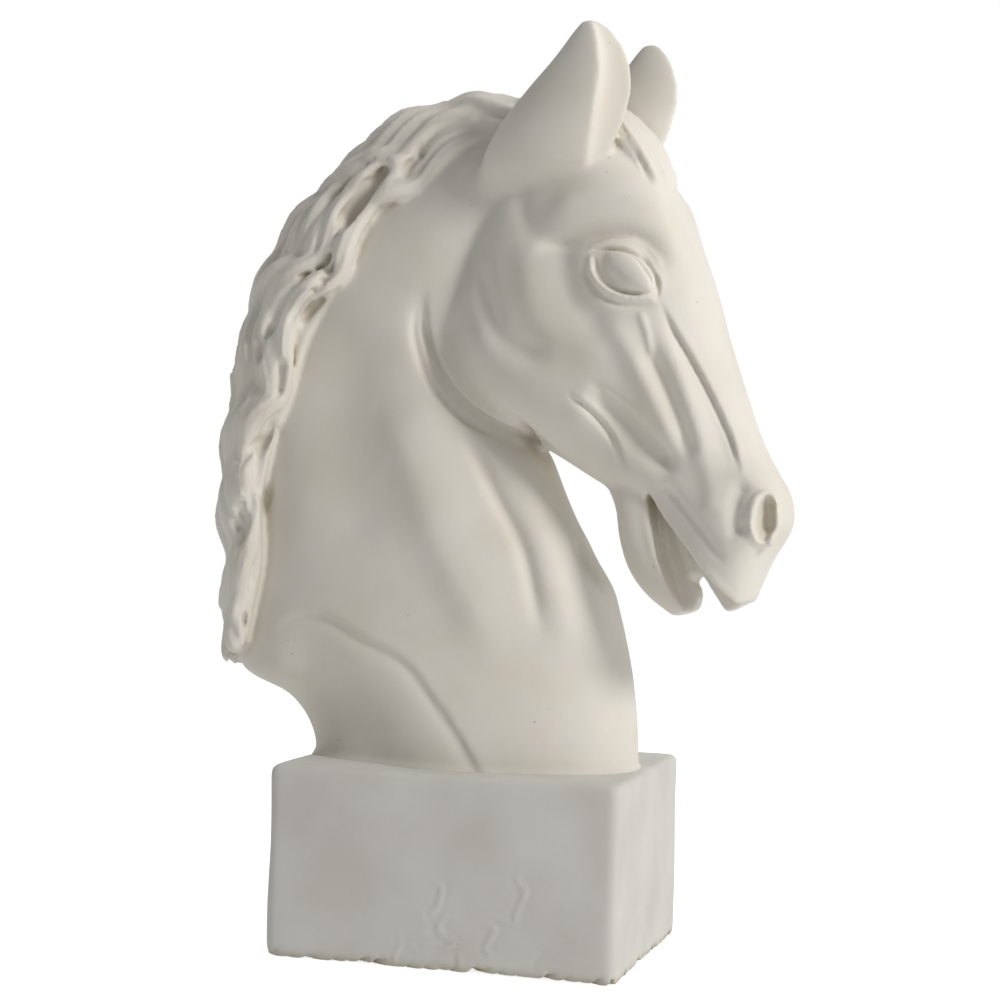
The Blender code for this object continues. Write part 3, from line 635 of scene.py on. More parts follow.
def add_lock(clay, sizes, start, length, lean, drift, wave, phase, radius, twist, lift):
    """One lock: a bundle of strands that winds along the crest and slips towards the neck."""
    share = np.linspace(0.0, 1.0, 46)
    place = np.clip(start + length * share, 0.0, 1.0)
    swell = 2.0 * math.pi * place / sizes.wave_share + phase
    lean = lean + drift * share + wave * np.sin(swell)
    point, outward = on_crest(place, lean)
    fullness = np.sin(math.pi * np.clip(share * 0.93 + 0.05, 0.0, 1.0)) ** 0.6
    radii = radius * (0.22 + 0.78 * fullness)
    swing = 0.0022 * np.sin(swell * 2.0 + 1.4)
    path = point + outward * (lift * radii + swing)[:, None]
    clay.add_tube(path, outward, radii, flat=0.95, lobes=sizes.strands, depth=0.15, twist=twist, count=42)


def mane_locks(clay, sizes):
    """Locks side by side from the crest to the edge, each row staggered against the next."""
    rng = np.random.default_rng(11)
    for side in (-1, 1):
        for row, lean in enumerate((11.0, 23.0, 35.0, 47.0, 58.0, 68.0, 77.0)):
            start = 0.16 + 0.035 * ((row * 2) % 5) - 0.02 * rng.random()
            while start < 0.93:
                length = rng.uniform(0.22, 0.34)
                length = min(length, 1.0 - start + 0.02)
                radius = sizes.lock_width / 2.0 * rng.uniform(0.8, 1.15)
                radius *= 0.62 + 0.38 * min(1.0, max(start - 0.12, 0.0) / 0.2)
                radius *= 1.0 - 0.3 * min(1.0, max(start - 0.62, 0.0) / 0.2)
                add_lock(
                    clay, sizes, start, length,
                    side * math.radians(lean + rng.uniform(-4.0, 3.0)),
                    side * math.radians(rng.uniform(-3.0, 11.0)) * (1.0 if lean < 75.0 else 0.3),
                    side * math.radians(rng.uniform(5.0, 9.5)),
                    rng.uniform(-0.5, 0.5) + 0.35 * row,
                    radius, rng.uniform(-1.6, 1.6),
                    -1.05 + 0.35 * lean / 90.0 + rng.uniform(-0.3, 0.3),
                )
                start += length * rng.uniform(0.58, 0.72)
    for start in np.arange(0.2, 0.95, 0.105):
        length = min(rng.uniform(0.14, 0.2), 1.0 - start)
        add_lock(
            clay, sizes, start, length, math.radians(rng.uniform(-6.0, 6.0)), 0.0,
            math.radians(7.0), rng.uniform(0.0, 6.0), sizes.lock_width / 2.0 * rng.uniform(0.9, 1.1),
            rng.uniform(-1.5, 1.5), -1.0,
        )


def forelock(clay, sizes):
    """Tuft that falls forward between the ears."""
    rng = np.random.default_rng(5)
    fall = curve_through([(46, 544), (82, 538), (107, 519), (122, 498), (131, 478)], 10) * MM
    for spread in (-19, -13, -7, -1, 5, 11, 17):
        end = int(len(fall) * rng.uniform(0.78, 1.0))
        line = fall[:end]
        share = np.linspace(0.0, 1.0, end)
        y = spread * MM * (0.45 + 0.55 * share) + 0.0028 * np.sin(9.0 * share + spread)
        drop = 0.006 * (y / 0.02) ** 2 + 0.0015
        tangent = unit(np.gradient(line, axis=0))
        outward = np.column_stack([-tangent[:, 1], y * 0.0, tangent[:, 0]])
        path = np.column_stack([line[:, 0], y, line[:, 1]]) - outward * drop[:, None]
        radii = 6.0 * MM * (0.2 + 0.8 * np.sin(math.pi * np.clip(share * 0.9 + 0.08, 0, 1)) ** 0.7)
        clay.add_tube(path, outward, radii, lobes=sizes.strands - 2, depth=0.24, twist=0.8, count=30)


# ---------------------------------------------------------------- the cast form

def core_form():
    """Neck, head and jaw in one skin, with their muscles and hollows."""
    clay = Clay()
    for stations in (NECK, HEAD, JAW):
        clay.add_rings(section_rings(stations))
    form = fused(clay.add_object("core"), CORE_GRAIN)
    set_points(form, relaxed(get_points(form), get_edges(form), 0.5, 6))
    stroke(form, BROAD_STROKES, 1.0)
    return form


def add_lid(clay, tree, line, side, lift, radius):
    """Rim of an eyelid, thin at its ends."""
    lid = path_on_skin(tree, line, side, lift)
    thickness = np.sin(np.linspace(0.25, math.pi - 0.25, len(lid))) * radius * MM
    clay.add_tube(lid, outward_of(side, lid), thickness)


def add_eyeball(clay, tree, side):
    """Flattened ball that stands a little proud of the skin."""
    middle_x, middle_z = np.array(EYE_CENTRE) * MM
    skin = surface_depth(tree, middle_x, middle_z, side)
    around = np.linspace(0.0, 2.0 * math.pi, 32, endpoint=False)
    rings = []
    for angle in np.linspace(0.04, math.pi - 0.04, 22):
        u = EYE_RADII[0] * MM * math.sin(angle) * np.cos(around)
        w = EYE_RADII[1] * MM * math.sin(angle) * np.sin(around)
        x = middle_x + u * math.cos(EYE_TILT) - w * math.sin(EYE_TILT)
        z = middle_z + u * math.sin(EYE_TILT) + w * math.cos(EYE_TILT)
        y = np.full(len(around), side * (skin - EYE_SUNK + EYE_BULGE * math.cos(angle)))
        rings.append(np.column_stack([x, y, z]))
    clay.add_rings(rings)


def add_nostril_rim(clay, tree, side):
    """Raised rim round a nostril."""
    rim = path_on_skin(tree, NOSTRIL_RIM + NOSTRIL_RIM[:1], side, 0.0002)
    if side > 0:
        rim[:, 0] -= FAR_NOSTRIL_BACK
    clay.add_tube(rim, outward_of(side, rim), np.full(len(rim), 2.9 * MM))


def outward_of(side, path):
    """The same sideways direction for each point of a path."""
    return np.repeat([[0.0, side, 0.0]], len(path), 0)


def open_mouth(form, clay):
    """Cut the mouth open on both sides of a thin wall, and lay the tongue in it."""
    tongue = curve_through(TONGUE, 6) * MM
    width = np.interp(np.linspace(0, 1, len(tongue)), [0, 0.5, 0.85, 1], [5, 7, 7, 3]) * MM
    clay.add_tube(tongue, np.repeat([[0.9, 0.0, 0.5]], len(tongue), 0), width, flat=0.8)
    for low, high in ((-0.06, -MOUTH_WALL), (MOUTH_WALL, 0.06)):
        opening = add_prism("opening", MOUTH_OPENING, low, high)
        combined(form, opening, "DIFFERENCE")
        bpy.data.objects.remove(opening, do_unlink=True)


def hollow_nostrils(form):
    """Press both nostrils in, sideways and backwards."""
    points = get_points(form)
    shifted = points.copy()
    shifted[:, 0] += np.where(points[:, 1] > 0.0, FAR_NOSTRIL_BACK, 0.0)
    oval = inside_oval(shifted, NOSTRIL_CENTRE, NOSTRIL_RADII, NOSTRIL_TILT)
    deep = np.clip(1.0 - oval, 0.0, 1.0) ** 0.5 * NOSTRIL_DEPTH
    from_middle = np.abs(points[:, 1])
    pressed = (oval < 1.0) & (from_middle > NOSE_WALL)
    inward = -np.sign(points[:, 1]) * np.minimum(deep, from_middle - NOSE_WALL)
    points[:, 1] += np.where(pressed, inward, 0.0)
    points[:, 0] -= np.where(pressed, deep * 0.35, 0.0)
    set_points(form, points)


def beaded_foot(form):
    """Raise the low bead where the neck meets the plinth."""
    points = get_points(form)
    bead = np.exp(-((points[:, 2] - 0.1185) / 0.0035) ** 2) * 0.0028
    points[:, :2] += unit(points[:, :2] - np.array([[-0.005, 0.0]])) * bead[:, None]
    set_points(form, relaxed(points, get_edges(form), 0.4, 1))


def sculpted_form(sizes):
    """Head, neck, ears, jaw and mane as one skin, still upright in the side plane."""
    form = core_form()
    tree = BVHTree.FromPolygons(
        [v.co for v in form.data.vertices], [p.vertices[:] for p in form.data.polygons]
    )
    details = Clay()
    for side in (-1, 1):
        details.add_rings(ear_rings(side))
        add_lid(details, tree, UPPER_LID, side, -0.0006, 2.8)
        add_lid(details, tree, LOWER_LID, side, 0.0012, 1.9)
        add_eyeball(details, tree, side)
        add_nostril_rim(details, tree, side)
    mane_base(details)
    mane_locks(details, sizes)
    forelock(details, sizes)
    open_mouth(form, details)

    parts = details.add_object("details")
    bm = bmesh.new()
    bm.from_mesh(form.data)
    bm.from_mesh(parts.data)
    bm.to_mesh(form.data)
    bm.free()
    bpy.data.objects.remove(parts, do_unlink=True)
    fused(form, sizes.grain)
    stroke(form, POCKET_STROKES, 1.0)
    hollow_nostrils(form)
    fused(form, sizes.grain)

    for line, reach, rounds in EAR_SMOOTHING:
        soften(form, line, reach, rounds, FORELOCK_HALF_WIDTH)
    set_points(form, relaxed(get_points(form), get_edges(form), 0.5, 1))
    for centre, radii in FINE_PLACES:
        refine(form, centre, radii)
    stroke(form, FINE_STROKES, 1.2)
    stroke(form, FORELOCK_STROKES, 1.0, FORELOCK_HALF_WIDTH)
    beaded_foot(form)
    form.name = "knight_form"
    return form


def part_off(form, zone, name):
    """Cut the piece inside the zone off the form; returns the piece."""
    piece = combined(copied(form, name), zone, "INTERSECT")
    combined(form, zone, "DIFFERENCE")
    bpy.data.objects.remove(zone, do_unlink=True)
    return piece


def finished(obj, node, material, crease=55.0):
    """Give its finish and shading, hang it on the statue's body, and take the place of its CAD node."""
    obj.name = node + "_cast"
    obj.data.materials.clear()
    obj.data.materials.append(material)
    obj.data.shade_smooth()
    obj.data.set_sharp_from_angle(angle=math.radians(crease))
    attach(obj, "statue")
    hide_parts(node)


# ---------------------------------------------------------------- materials

# Sockets of a colour Mix node, whose names repeat: its share, first and second colour, and its result.
SHARE, FIRST, SECOND, MIXED = 0, 6, 7, 2


def connect(node, inputs):
    """Give a node's inputs a value or another node's output."""
    for key, value in inputs.items():
        if isinstance(value, bpy.types.NodeSocket):
            node.id_data.links.new(value, node.inputs[key])
        else:
            node.inputs[key].default_value = value


def add_node(owner, kind, inputs=None, **settings):
    """Add a node to a material or world, with its settings and with what its inputs are given."""
    node = owner.node_tree.nodes.new("ShaderNode" + kind)
    for key, value in settings.items():
        setattr(node, key, value)
    connect(node, inputs or {})
    return node


def new_material(name):
    """A material with its shader and the coordinates of the piece, in metres."""
    material = bpy.data.materials.new(name)
    material.use_nodes = True
    shader = material.node_tree.nodes["Principled BSDF"]
    place = add_node(material, "TexCoord").outputs["Object"]
    return material, shader, place


def per_metre(millimetres):
    """Scale of a texture whose pattern repeats at this size."""
    return 1.0 / (millimetres * MM)


def cast_plaster_matt(name, ground, clouds_colour, colours):
    """Gypsum plaster as it comes from a mould, sealed: matt off-white with pinholes and cloudy
    patches, and a warm painted shade in the recesses that also stands for dust."""
    material, shader, place = new_material(name)
    clouds = add_node(material, "TexNoise", {"Vector": place, "Scale": per_metre(55.0), "Detail": 4.0})
    patches = add_node(
        material, "MapRange", {"Value": clouds.outputs[0], "From Min": 0.42, "From Max": 0.68}
    )
    clouded = add_node(
        material, "Mix", {SHARE: patches.outputs[0], FIRST: ground, SECOND: clouds_colour}, data_type="RGBA"
    )
    # Painted shade: where the ambient occlusion finds a recess, the colour is darkened towards a warm recess
    # colour, which also stands for dust.
    recess = add_node(material, "AmbientOcclusion", {"Distance": 0.016}, samples=8)
    shade_and_dust_share = add_node(
        material, "MapRange",
        {"Value": recess.outputs["AO"], "From Min": 0.72, "From Max": 0.12, "To Min": 0.0, "To Max": 0.75},
    )
    shaded_and_dusty = add_node(
        material, "Mix",
        {SHARE: shade_and_dust_share.outputs[0], FIRST: clouded.outputs[MIXED], SECOND: colours.recess_shade_and_dust},
        data_type="RGBA",
    )
    # Pinholes of 1 to 2 mm, only where the plaster took in air.
    cells = add_node(material, "TexVoronoi", {"Vector": place, "Scale": per_metre(11.0)})
    away = cells.outputs["Distance"]
    holes = add_node(
        material, "MapRange",
        {"Value": away, "From Min": 0.05, "From Max": 0.085, "To Min": 1.0, "To Max": 0.0},
    )
    airy = add_node(material, "TexNoise", {"Vector": place, "Scale": per_metre(30.0)})
    rare = add_node(material, "MapRange", {"Value": airy.outputs[0], "From Min": 0.58, "From Max": 0.66})
    pits = add_node(material, "Math", {0: holes.outputs[0], 1: rare.outputs[0]}, operation="MULTIPLY")
    colour = add_node(
        material, "Mix",
        {SHARE: pits.outputs[0], FIRST: shaded_and_dusty.outputs[MIXED], SECOND: colours.pinhole}, data_type="RGBA",
    )
    grain = add_node(material, "TexNoise", {"Vector": place, "Scale": per_metre(1.6), "Detail": 3.0})
    trowel = add_node(material, "TexNoise", {"Vector": place, "Scale": per_metre(20.0), "Detail": 3.0})
    rough = add_node(material, "MapRange", {"Value": trowel.outputs[0], "To Min": 0.72, "To Max": 0.92})
    dents = add_node(material, "Bump", {"Strength": 0.35, "Distance": 0.0009, "Height": trowel.outputs[0]})
    fine = add_node(
        material, "Bump",
        {"Strength": 0.22, "Distance": 0.00025, "Height": grain.outputs[0], "Normal": dents.outputs[0]},
    )
    sunk = add_node(
        material, "Bump",
        {"Strength": 0.4, "Distance": 0.0004, "Height": pits.outputs[0], "Normal": fine.outputs[0]},
        invert=True,
    )
    connect(shader, {
        "Base Color": colour.outputs[MIXED],
        "Roughness": rough.outputs[0],
        "IOR": 1.52,
        "Specular IOR Level": 0.3,
        "Normal": sunk.outputs[0],
    })
    return material


def zinc_plated_steel(colours):
    """Zinc plated steel, drawn and turned: pale grey metal with faint cloudy spangle and fine lines."""
    material, shader, place = new_material("Zinc plated steel")
    spangle = add_node(material, "TexVoronoi", {"Vector": place, "Scale": per_metre(2.5)})
    cloud = add_node(material, "TexNoise", {"Vector": place, "Scale": per_metre(4.0), "Detail": 4.0})
    colour = add_node(
        material, "Mix",
        {SHARE: cloud.outputs[0], FIRST: colours.zinc, SECOND: colours.zinc_dull}, data_type="RGBA",
    )
    rough = add_node(
        material, "MapRange", {"Value": spangle.outputs["Color"], "To Min": 0.28, "To Max": 0.5}
    )
    lines = add_node(material, "TexNoise", {"Vector": place, "Scale": per_metre(0.6), "Detail": 2.0})
    bump = add_node(material, "Bump", {"Strength": 0.15, "Distance": 0.0001, "Height": lines.outputs[0]})
    connect(shader, {
        "Base Color": colour.outputs[MIXED],
        "Metallic": 1.0,
        "Roughness": rough.outputs[0],
        "Normal": bump.outputs[0],
    })
    return material


def birch_plywood(colours):
    """Sanded birch plywood: straight pale grain on the faces, dark and light plies on the edges."""
    material, shader, place = new_material("Birch plywood, sanded")
    along = add_node(
        material, "Mapping", {"Vector": place, "Scale": (per_metre(60.0), per_metre(3.5), per_metre(4.0))}
    )
    grain = add_node(material, "TexNoise", {"Vector": along.outputs[0], "Scale": 1.0, "Detail": 6.0})
    face = add_node(
        material, "Mix",
        {SHARE: grain.outputs[0], FIRST: colours.birch, SECOND: colours.birch_dark}, data_type="RGBA",
    )
    plies = add_node(
        material, "TexWave",
        {"Vector": place, "Scale": per_metre(2.8), "Distortion": 0.4}, bands_direction="Z",
    )
    edge = add_node(
        material, "Mix",
        {SHARE: plies.outputs[1], FIRST: colours.birch_dark, SECOND: colours.birch}, data_type="RGBA",
    )
    facing = add_node(material, "TexCoord").outputs["Normal"]
    split = add_node(material, "SeparateXYZ", {0: facing})
    upright = add_node(material, "Math", {0: split.outputs["Z"]}, operation="ABSOLUTE")
    on_face = add_node(
        material, "MapRange", {"Value": upright.outputs[0], "From Min": 0.4, "From Max": 0.6}
    )
    colour = add_node(
        material, "Mix",
        {SHARE: on_face.outputs[0], FIRST: edge.outputs[MIXED], SECOND: face.outputs[MIXED]},
        data_type="RGBA",
    )
    bump = add_node(material, "Bump", {"Strength": 0.3, "Distance": 0.0003, "Height": grain.outputs[0]})
    connect(shader, {"Base Color": colour.outputs[MIXED], "Roughness": 0.68, "Normal": bump.outputs[0]})
    return material


def beech_planed(colours):
    """Planed beech dowel: warm, even wood with short darker flecks along the grain."""
    material, shader, place = new_material("Beech, planed")
    along = add_node(
        material, "Mapping", {"Vector": place, "Scale": (per_metre(1.2), per_metre(1.2), per_metre(9.0))}
    )
    flecks = add_node(material, "TexNoise", {"Vector": along.outputs[0], "Scale": 1.0, "Detail": 5.0})
    share = add_node(material, "MapRange", {"Value": flecks.outputs[0], "From Min": 0.45, "From Max": 0.7})
    colour = add_node(
        material, "Mix",
        {SHARE: share.outputs[0], FIRST: colours.beech, SECOND: colours.beech_fleck}, data_type="RGBA",
    )
    bump = add_node(material, "Bump", {"Strength": 0.2, "Distance": 0.0002, "Height": flecks.outputs[0]})
    connect(shader, {"Base Color": colour.outputs[MIXED], "Roughness": 0.6, "Normal": bump.outputs[0]})
    return material


def moulded_black(name, colour_pair, texture_size, roughness, strength):
    """Moulded dark rubber or polyethylene: a fine mould texture, with paler scuffs from the ground."""
    material, shader, place = new_material(name)
    scuffs = add_node(material, "TexNoise", {"Vector": place, "Scale": per_metre(12.0), "Detail": 8.0})
    share = add_node(material, "MapRange", {"Value": scuffs.outputs[0], "From Min": 0.5, "From Max": 0.75})
    colour = add_node(
        material, "Mix",
        {SHARE: share.outputs[0], FIRST: colour_pair[0], SECOND: colour_pair[1]}, data_type="RGBA",
    )
    rough = add_node(
        material, "MapRange",
        {"Value": scuffs.outputs[0], "To Min": roughness - 0.08, "To Max": roughness + 0.1},
    )
    texture = add_node(
        material, "TexNoise", {"Vector": place, "Scale": per_metre(texture_size), "Detail": 3.0}
    )
    bump = add_node(
        material, "Bump", {"Strength": strength, "Distance": 0.0002, "Height": texture.outputs[0]}
    )
    connect(shader, {
        "Base Color": colour.outputs[MIXED],
        "Roughness": rough.outputs[0],
        "Normal": bump.outputs[0],
    })
    return material


def paint_nodes(names, material):
    """Give CAD nodes that stay in view their finish."""
    for name in names:
        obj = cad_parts[name]
        for slot in obj.material_slots:
            slot.material = material


def plaster(colours):
    """The finish that all pieces of the figure share."""
    name = "Cast plaster, matt"
    found = bpy.data.materials.get(name)
    return found or cast_plaster_matt(name, colours.plaster, colours.plaster_cloud, colours)


# ---------------------------------------------------------------- the add-on

class KnightSizes(bpy.types.PropertyGroup):
    grain: FloatProperty(
        name="Grain", description="Size of the faces of the sculpted skin",
        default=0.0014, min=0.0008, max=0.004, unit="LENGTH",
    )
    lock_width: FloatProperty(
        name="Lock width", description="Width of a lock of the mane at its fullest",
        default=0.0145, min=0.006, max=0.028, unit="LENGTH",
    )
    strands: IntProperty(
        name="Strands", description="Strands round a lock", default=7, min=2, max=12,
    )
    wave_share: FloatProperty(
        name="Wave", description="Length of one wave of a lock as a share of the crest's length",
        default=0.17, min=0.05, max=0.5, subtype="FACTOR",
    )
    plinth_grain: FloatProperty(
        name="Plinth grain", description="Size of the faces of the plinth's skin",
        default=0.0018, min=0.001, max=0.005, unit="LENGTH",
    )
    plinth_wobble: FloatProperty(
        name="Plinth unevenness", description="How far the plinth's faces depart from flat",
        default=0.0009, min=0.0, max=0.004, unit="LENGTH",
    )


def colour_property(name, description, hex_colour):
    return FloatVectorProperty(
        name=name, description=description, default=linear(hex_colour), size=4,
        subtype="COLOR", min=0.0, max=1.0,
    )


class KnightColours(bpy.types.PropertyGroup):
    plaster: colour_property("Plaster", "Colour of the sealed plaster", "#E6E2DA")
    plaster_cloud: colour_property("Plaster clouds", "Cloudy patches of the plaster", "#E0DBD0")
    plinth: colour_property("Plinth", "Colour of the plinth's plaster", "#D8D7D3")
    plinth_cloud: colour_property("Plinth clouds", "Cloudy patches of the plinth", "#D0CEC9")
    # Painted shade: the warm, darker colour that the plaster's recesses are mixed towards; it also stands for
    # dust.
    recess_shade_and_dust: colour_property("Recess dust", "Warm dust in the recesses", "#B5AB93")
    pinhole: colour_property("Pinholes", "Inside of the pinholes", "#C6C1B4")
    zinc: colour_property("Zinc", "Bright part of the zinc plating", "#C3C6CA")
    zinc_dull: colour_property("Dull zinc", "Dull part of the zinc plating", "#9DA1A6")
    birch: colour_property("Birch", "Pale part of the plywood", "#D9BF93")
    birch_dark: colour_property("Birch, dark", "Dark part of the plywood", "#A67E4F")
    beech: colour_property("Beech", "Ground colour of the beech", "#C9A071")
    beech_fleck: colour_property("Beech flecks", "Flecks of the beech", "#9A6E43")
    rubber: colour_property("Rubber", "Colour of the feet and the seal", "#1C1C1D")
    rubber_scuff: colour_property("Rubber scuffs", "Scuffed rubber", "#3A3937")
    polyethylene: colour_property("Polyethylene", "Colour of the plug and its bush", "#26282A")
    polyethylene_scuff: colour_property("Polyethylene scuffs", "Scuffed polyethylene", "#4A4B4B")


class KNIGHT_OT_sculpt(bpy.types.Operator):
    """Sculpt head, neck, ears, jaw and mane in one skin, which the next steps part"""
    bl_idname = "knight.sculpt"
    bl_label = "Sculpt the form"

    def execute(self, context):
        sculpted_form(context.scene.knight_sizes)
        return {"FINISHED"}


class KNIGHT_OT_ears(bpy.types.Operator):
    """Part the two ears off the form"""
    bl_idname = "knight.ears"
    bl_label = "Ears"

    def execute(self, context):
        form = bpy.data.objects["knight_form"]
        for node, low, high in EAR_SIDES:
            zone = add_prism("zone", EAR_ZONE, low, high)
            ear = part_off(form, zone, node)
            finished(turned_head(ear), node, plaster(context.scene.knight_colours))
        return {"FINISHED"}


class KNIGHT_OT_lower_jaw(bpy.types.Operator):
    """Part the lower jaw off the form"""
    bl_idname = "knight.lower_jaw"
    bl_label = "Lower jaw"

    def execute(self, context):
        form = bpy.data.objects["knight_form"]
        jaw = part_off(form, add_prism("zone", JAW_ZONE, -0.09, 0.09), "lower_jaw")
        finished(turned_head(jaw), "lower_jaw", plaster(context.scene.knight_colours))
        return {"FINISHED"}


class KNIGHT_OT_mane(bpy.types.Operator):
    """Part the mane with the forelock off the form"""
    bl_idname = "knight.mane"
    bl_label = "Mane"

    def execute(self, context):
        form = bpy.data.objects["knight_form"]
        mane = part_off(form, add_prism("zone", MANE_ZONE, -0.12, 0.12), "mane")
        finished(turned_head(mane), "mane", plaster(context.scene.knight_colours))
        return {"FINISHED"}


class KNIGHT_OT_bust(bpy.types.Operator):
    """Part what is left of the form into the two halves of the bust"""
    bl_idname = "knight.bust"
    bl_label = "Bust halves"

    def execute(self, context):
        form = bpy.data.objects["knight_form"]
        floor = add_prism("zone", [(-300, FOOT_HEIGHT), (300, FOOT_HEIGHT), (300, 0), (-300, 0)], -0.2, 0.2)
        combined(form, floor, "DIFFERENCE")
        bpy.data.objects.remove(floor, do_unlink=True)
        square = [(-300, 0), (300, 0), (300, 700), (-300, 700)]
        right = part_off(form, add_prism("zone", square, -0.2, 0.0), "bust_right_half")
        material = plaster(context.scene.knight_colours)
        finished(turned_head(right), "bust_right_half", material)
        finished(turned_head(form), "bust_left_half", material)
        return {"FINISHED"}


def rounded_outline(length, width, radius, steps=8):
    """Corners of a rounded rectangle about the origin."""
    outline = []
    for corner, (sx, sy) in enumerate(((1, 1), (-1, 1), (-1, -1), (1, -1))):
        for step in range(steps + 1):
            angle = math.pi / 2.0 * (corner + step / steps)
            x = sx * (length / 2.0 - radius) + radius * math.cos(angle)
            y = sy * (width / 2.0 - radius) + radius * math.sin(angle)
            outline.append((x, y))
    return np.array(outline)


def upright_prism(name, outline, heights, insets):
    """Stack of an outline at several heights, each drawn in by its inset."""
    clay = Clay()
    rings = []
    for height, inset in zip(heights, insets):
        size = np.abs(outline).max(0)
        scale = (size - inset) / size
        rings.append(np.column_stack([outline * scale, np.full(len(outline), height)]))
    clay.add_rings(rings)
    return clay.add_object(name)


def chipped(points, normals, bottom, rng):
    """Chips along the plinth's lower edge."""
    around = points[:, 0] + 1.7 * points[:, 1]
    rough = sum(np.sin(around * wave + rng.uniform(0.0, 6.0)) for wave in CHIP_WAVES)
    low_share = np.clip(1.0 - (points[:, 2] - bottom) / 0.007, 0.0, 1.0)
    chip = np.clip(rough - 0.6, 0.0, 2.0) * low_share**1.5 * CHIP_DEPTH
    points = points - normals * chip[:, None]
    points[:, 2] += np.where(points[:, 2] < bottom + 0.003, np.clip(rough, -1.0, 2.0) * 0.0005, 0.0)
    points[:, 2] -= np.where(points[:, 2] < bottom + 0.002, 0.0006, 0.0)
    return points


def drag_marks(points, normals, rng):
    """Heights of the short marks that a trowel left on the lower part of the faces."""
    height = np.zeros(len(points))
    for face_axis, run_axis, marks in ((1, 0, 14), (0, 1, 7)):
        for sign in (-1.0, 1.0):
            facing = np.clip(normals[:, face_axis] * sign * 2.0 - 1.0, 0.0, 1.0)
            near = np.where(facing > 0.0)[0]
            flat = points[near][:, [run_axis, 2]]
            for _ in range(marks):
                start = np.array([rng.uniform(-0.08, 0.07), rng.uniform(0.012, 0.045)])
                turns = np.cumsum(rng.normal(0.0, 0.8, 5)) + rng.uniform(-0.5, 0.5)
                steps = np.column_stack([np.cos(turns), np.sin(turns) * 0.7]) * rng.uniform(0.005, 0.011)
                line = curve_through(start + np.cumsum(steps, axis=0), 5)
                distance, _, along = reach_of_line(flat, line)
                fade = np.sin(math.pi * np.clip(along, 0.0, 1.0)) ** 0.5
                form = np.exp(-(distance / 0.0013) ** 2)
                form -= 0.4 * np.exp(-((distance - 0.003) / 0.002) ** 2)
                height[near] += form * fade * facing[near] * rng.choice([-0.7, 1.0, 1.0]) * MARK_HEIGHT
    return height


def worn_plinth(points, normals, bottom, top):
    """The plinth's skin with its chips, its uneven top and the marks on its faces."""
    rng = np.random.default_rng(3)
    points = chipped(points, normals, bottom, rng)
    rise = 0.0012 + 0.008 * (points[:, 1] + 0.03)
    points[:, 2] += eased((points[:, 2] - top + 0.03) / 0.03) * rise
    return points + normals * drag_marks(points, normals, rng)[:, None]


def plinth_skin(sizes, length, width, bottom, top):
    """Outside of the plinth, rounded at its edges, uneven and worn."""
    outline = rounded_outline(length + PLINTH_PROUD[0], width + PLINTH_PROUD[1], 0.006)
    plinth = upright_prism(
        "plinth", outline, (bottom, bottom + 0.0015, top - 0.0045, top - 0.001, top + 0.0004),
        (0.0008, 0.0, 0.0, 0.001, 0.0042),
    )
    fused(plinth, sizes.plinth_grain)
    points = relaxed(get_points(plinth), get_edges(plinth), 0.5, 3)
    set_points(plinth, points)
    normals = get_normals(plinth)
    x, y, z = points.T
    wave = np.sin(x * 61.0 + 1.3) * np.sin(z * 47.0 + 0.6)
    wave += np.sin(y * 53.0 + 2.1) * np.sin(z * 71.0 + x * 33.0)
    points = points + normals * (wave * sizes.plinth_wobble * 0.5)[:, None]
    set_points(plinth, worn_plinth(points, normals, bottom, top))
    return plinth


class KNIGHT_OT_plinth(bpy.types.Operator):
    """Make the hollow plinth with its worn edges, drag marks and chips"""
    bl_idname = "knight.plinth"
    bl_label = "Plinth"

    def execute(self, context):
        low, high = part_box("plinth_shell")
        length, width = high.x - low.x, high.y - low.y
        plinth = plinth_skin(context.scene.knight_sizes, length, width, low.z, high.z)
        inner = rounded_outline(length - 0.020, width - 0.020, 0.030, 1)
        seat = rounded_outline(length - 0.012, width - 0.012, 0.006)
        for name, outline, heights in (
            ("cavity", inner, (0.005, high.z - 0.012)),
            ("recess", seat, (-0.01, BASE_PLATE_SEAT)),
        ):
            cutter = upright_prism(name, outline, heights, (0.0, 0.0))
            combined(plinth, cutter, "DIFFERENCE")
            bpy.data.objects.remove(cutter, do_unlink=True)
        middle = np.array([(low.x + high.x) / 2.0, (low.y + high.y) / 2.0, 0.0])
        set_points(plinth, get_points(plinth) + middle)
        colours = context.scene.knight_colours
        # The plinth gets a darker, greyer copy of the plaster than the figure.
        greyed = cast_plaster_matt(
            "Cast plaster, darker and greyer", colours.plinth, colours.plinth_cloud, colours
        )
        finished(plinth, "plinth_shell", greyed, crease=40.0)
        return {"FINISHED"}


class KNIGHT_OT_fixings(bpy.types.Operator):
    """Finish the bolts, washers, tee nuts and screws"""
    bl_idname = "knight.fixings"
    bl_label = "Fixings"

    def execute(self, context):
        names = [f"{kind}_{k}" for kind in ("bust_bolt", "bust_washer", "tee_nut") for k in (1, 2)]
        names += [f"base_plate_screw_{k}" for k in (1, 2, 3, 4)]
        paint_nodes(names, zinc_plated_steel(context.scene.knight_colours))
        return {"FINISHED"}


class KNIGHT_OT_boards(bpy.types.Operator):
    """Finish the plywood boards and the beech pegs of the ears"""
    bl_idname = "knight.boards"
    bl_label = "Boards and pegs"

    def execute(self, context):
        colours = context.scene.knight_colours
        paint_nodes(["base_plate", "anchor_board"], birch_plywood(colours))
        paint_nodes(["left_ear_peg", "right_ear_peg"], beech_planed(colours))
        return {"FINISHED"}


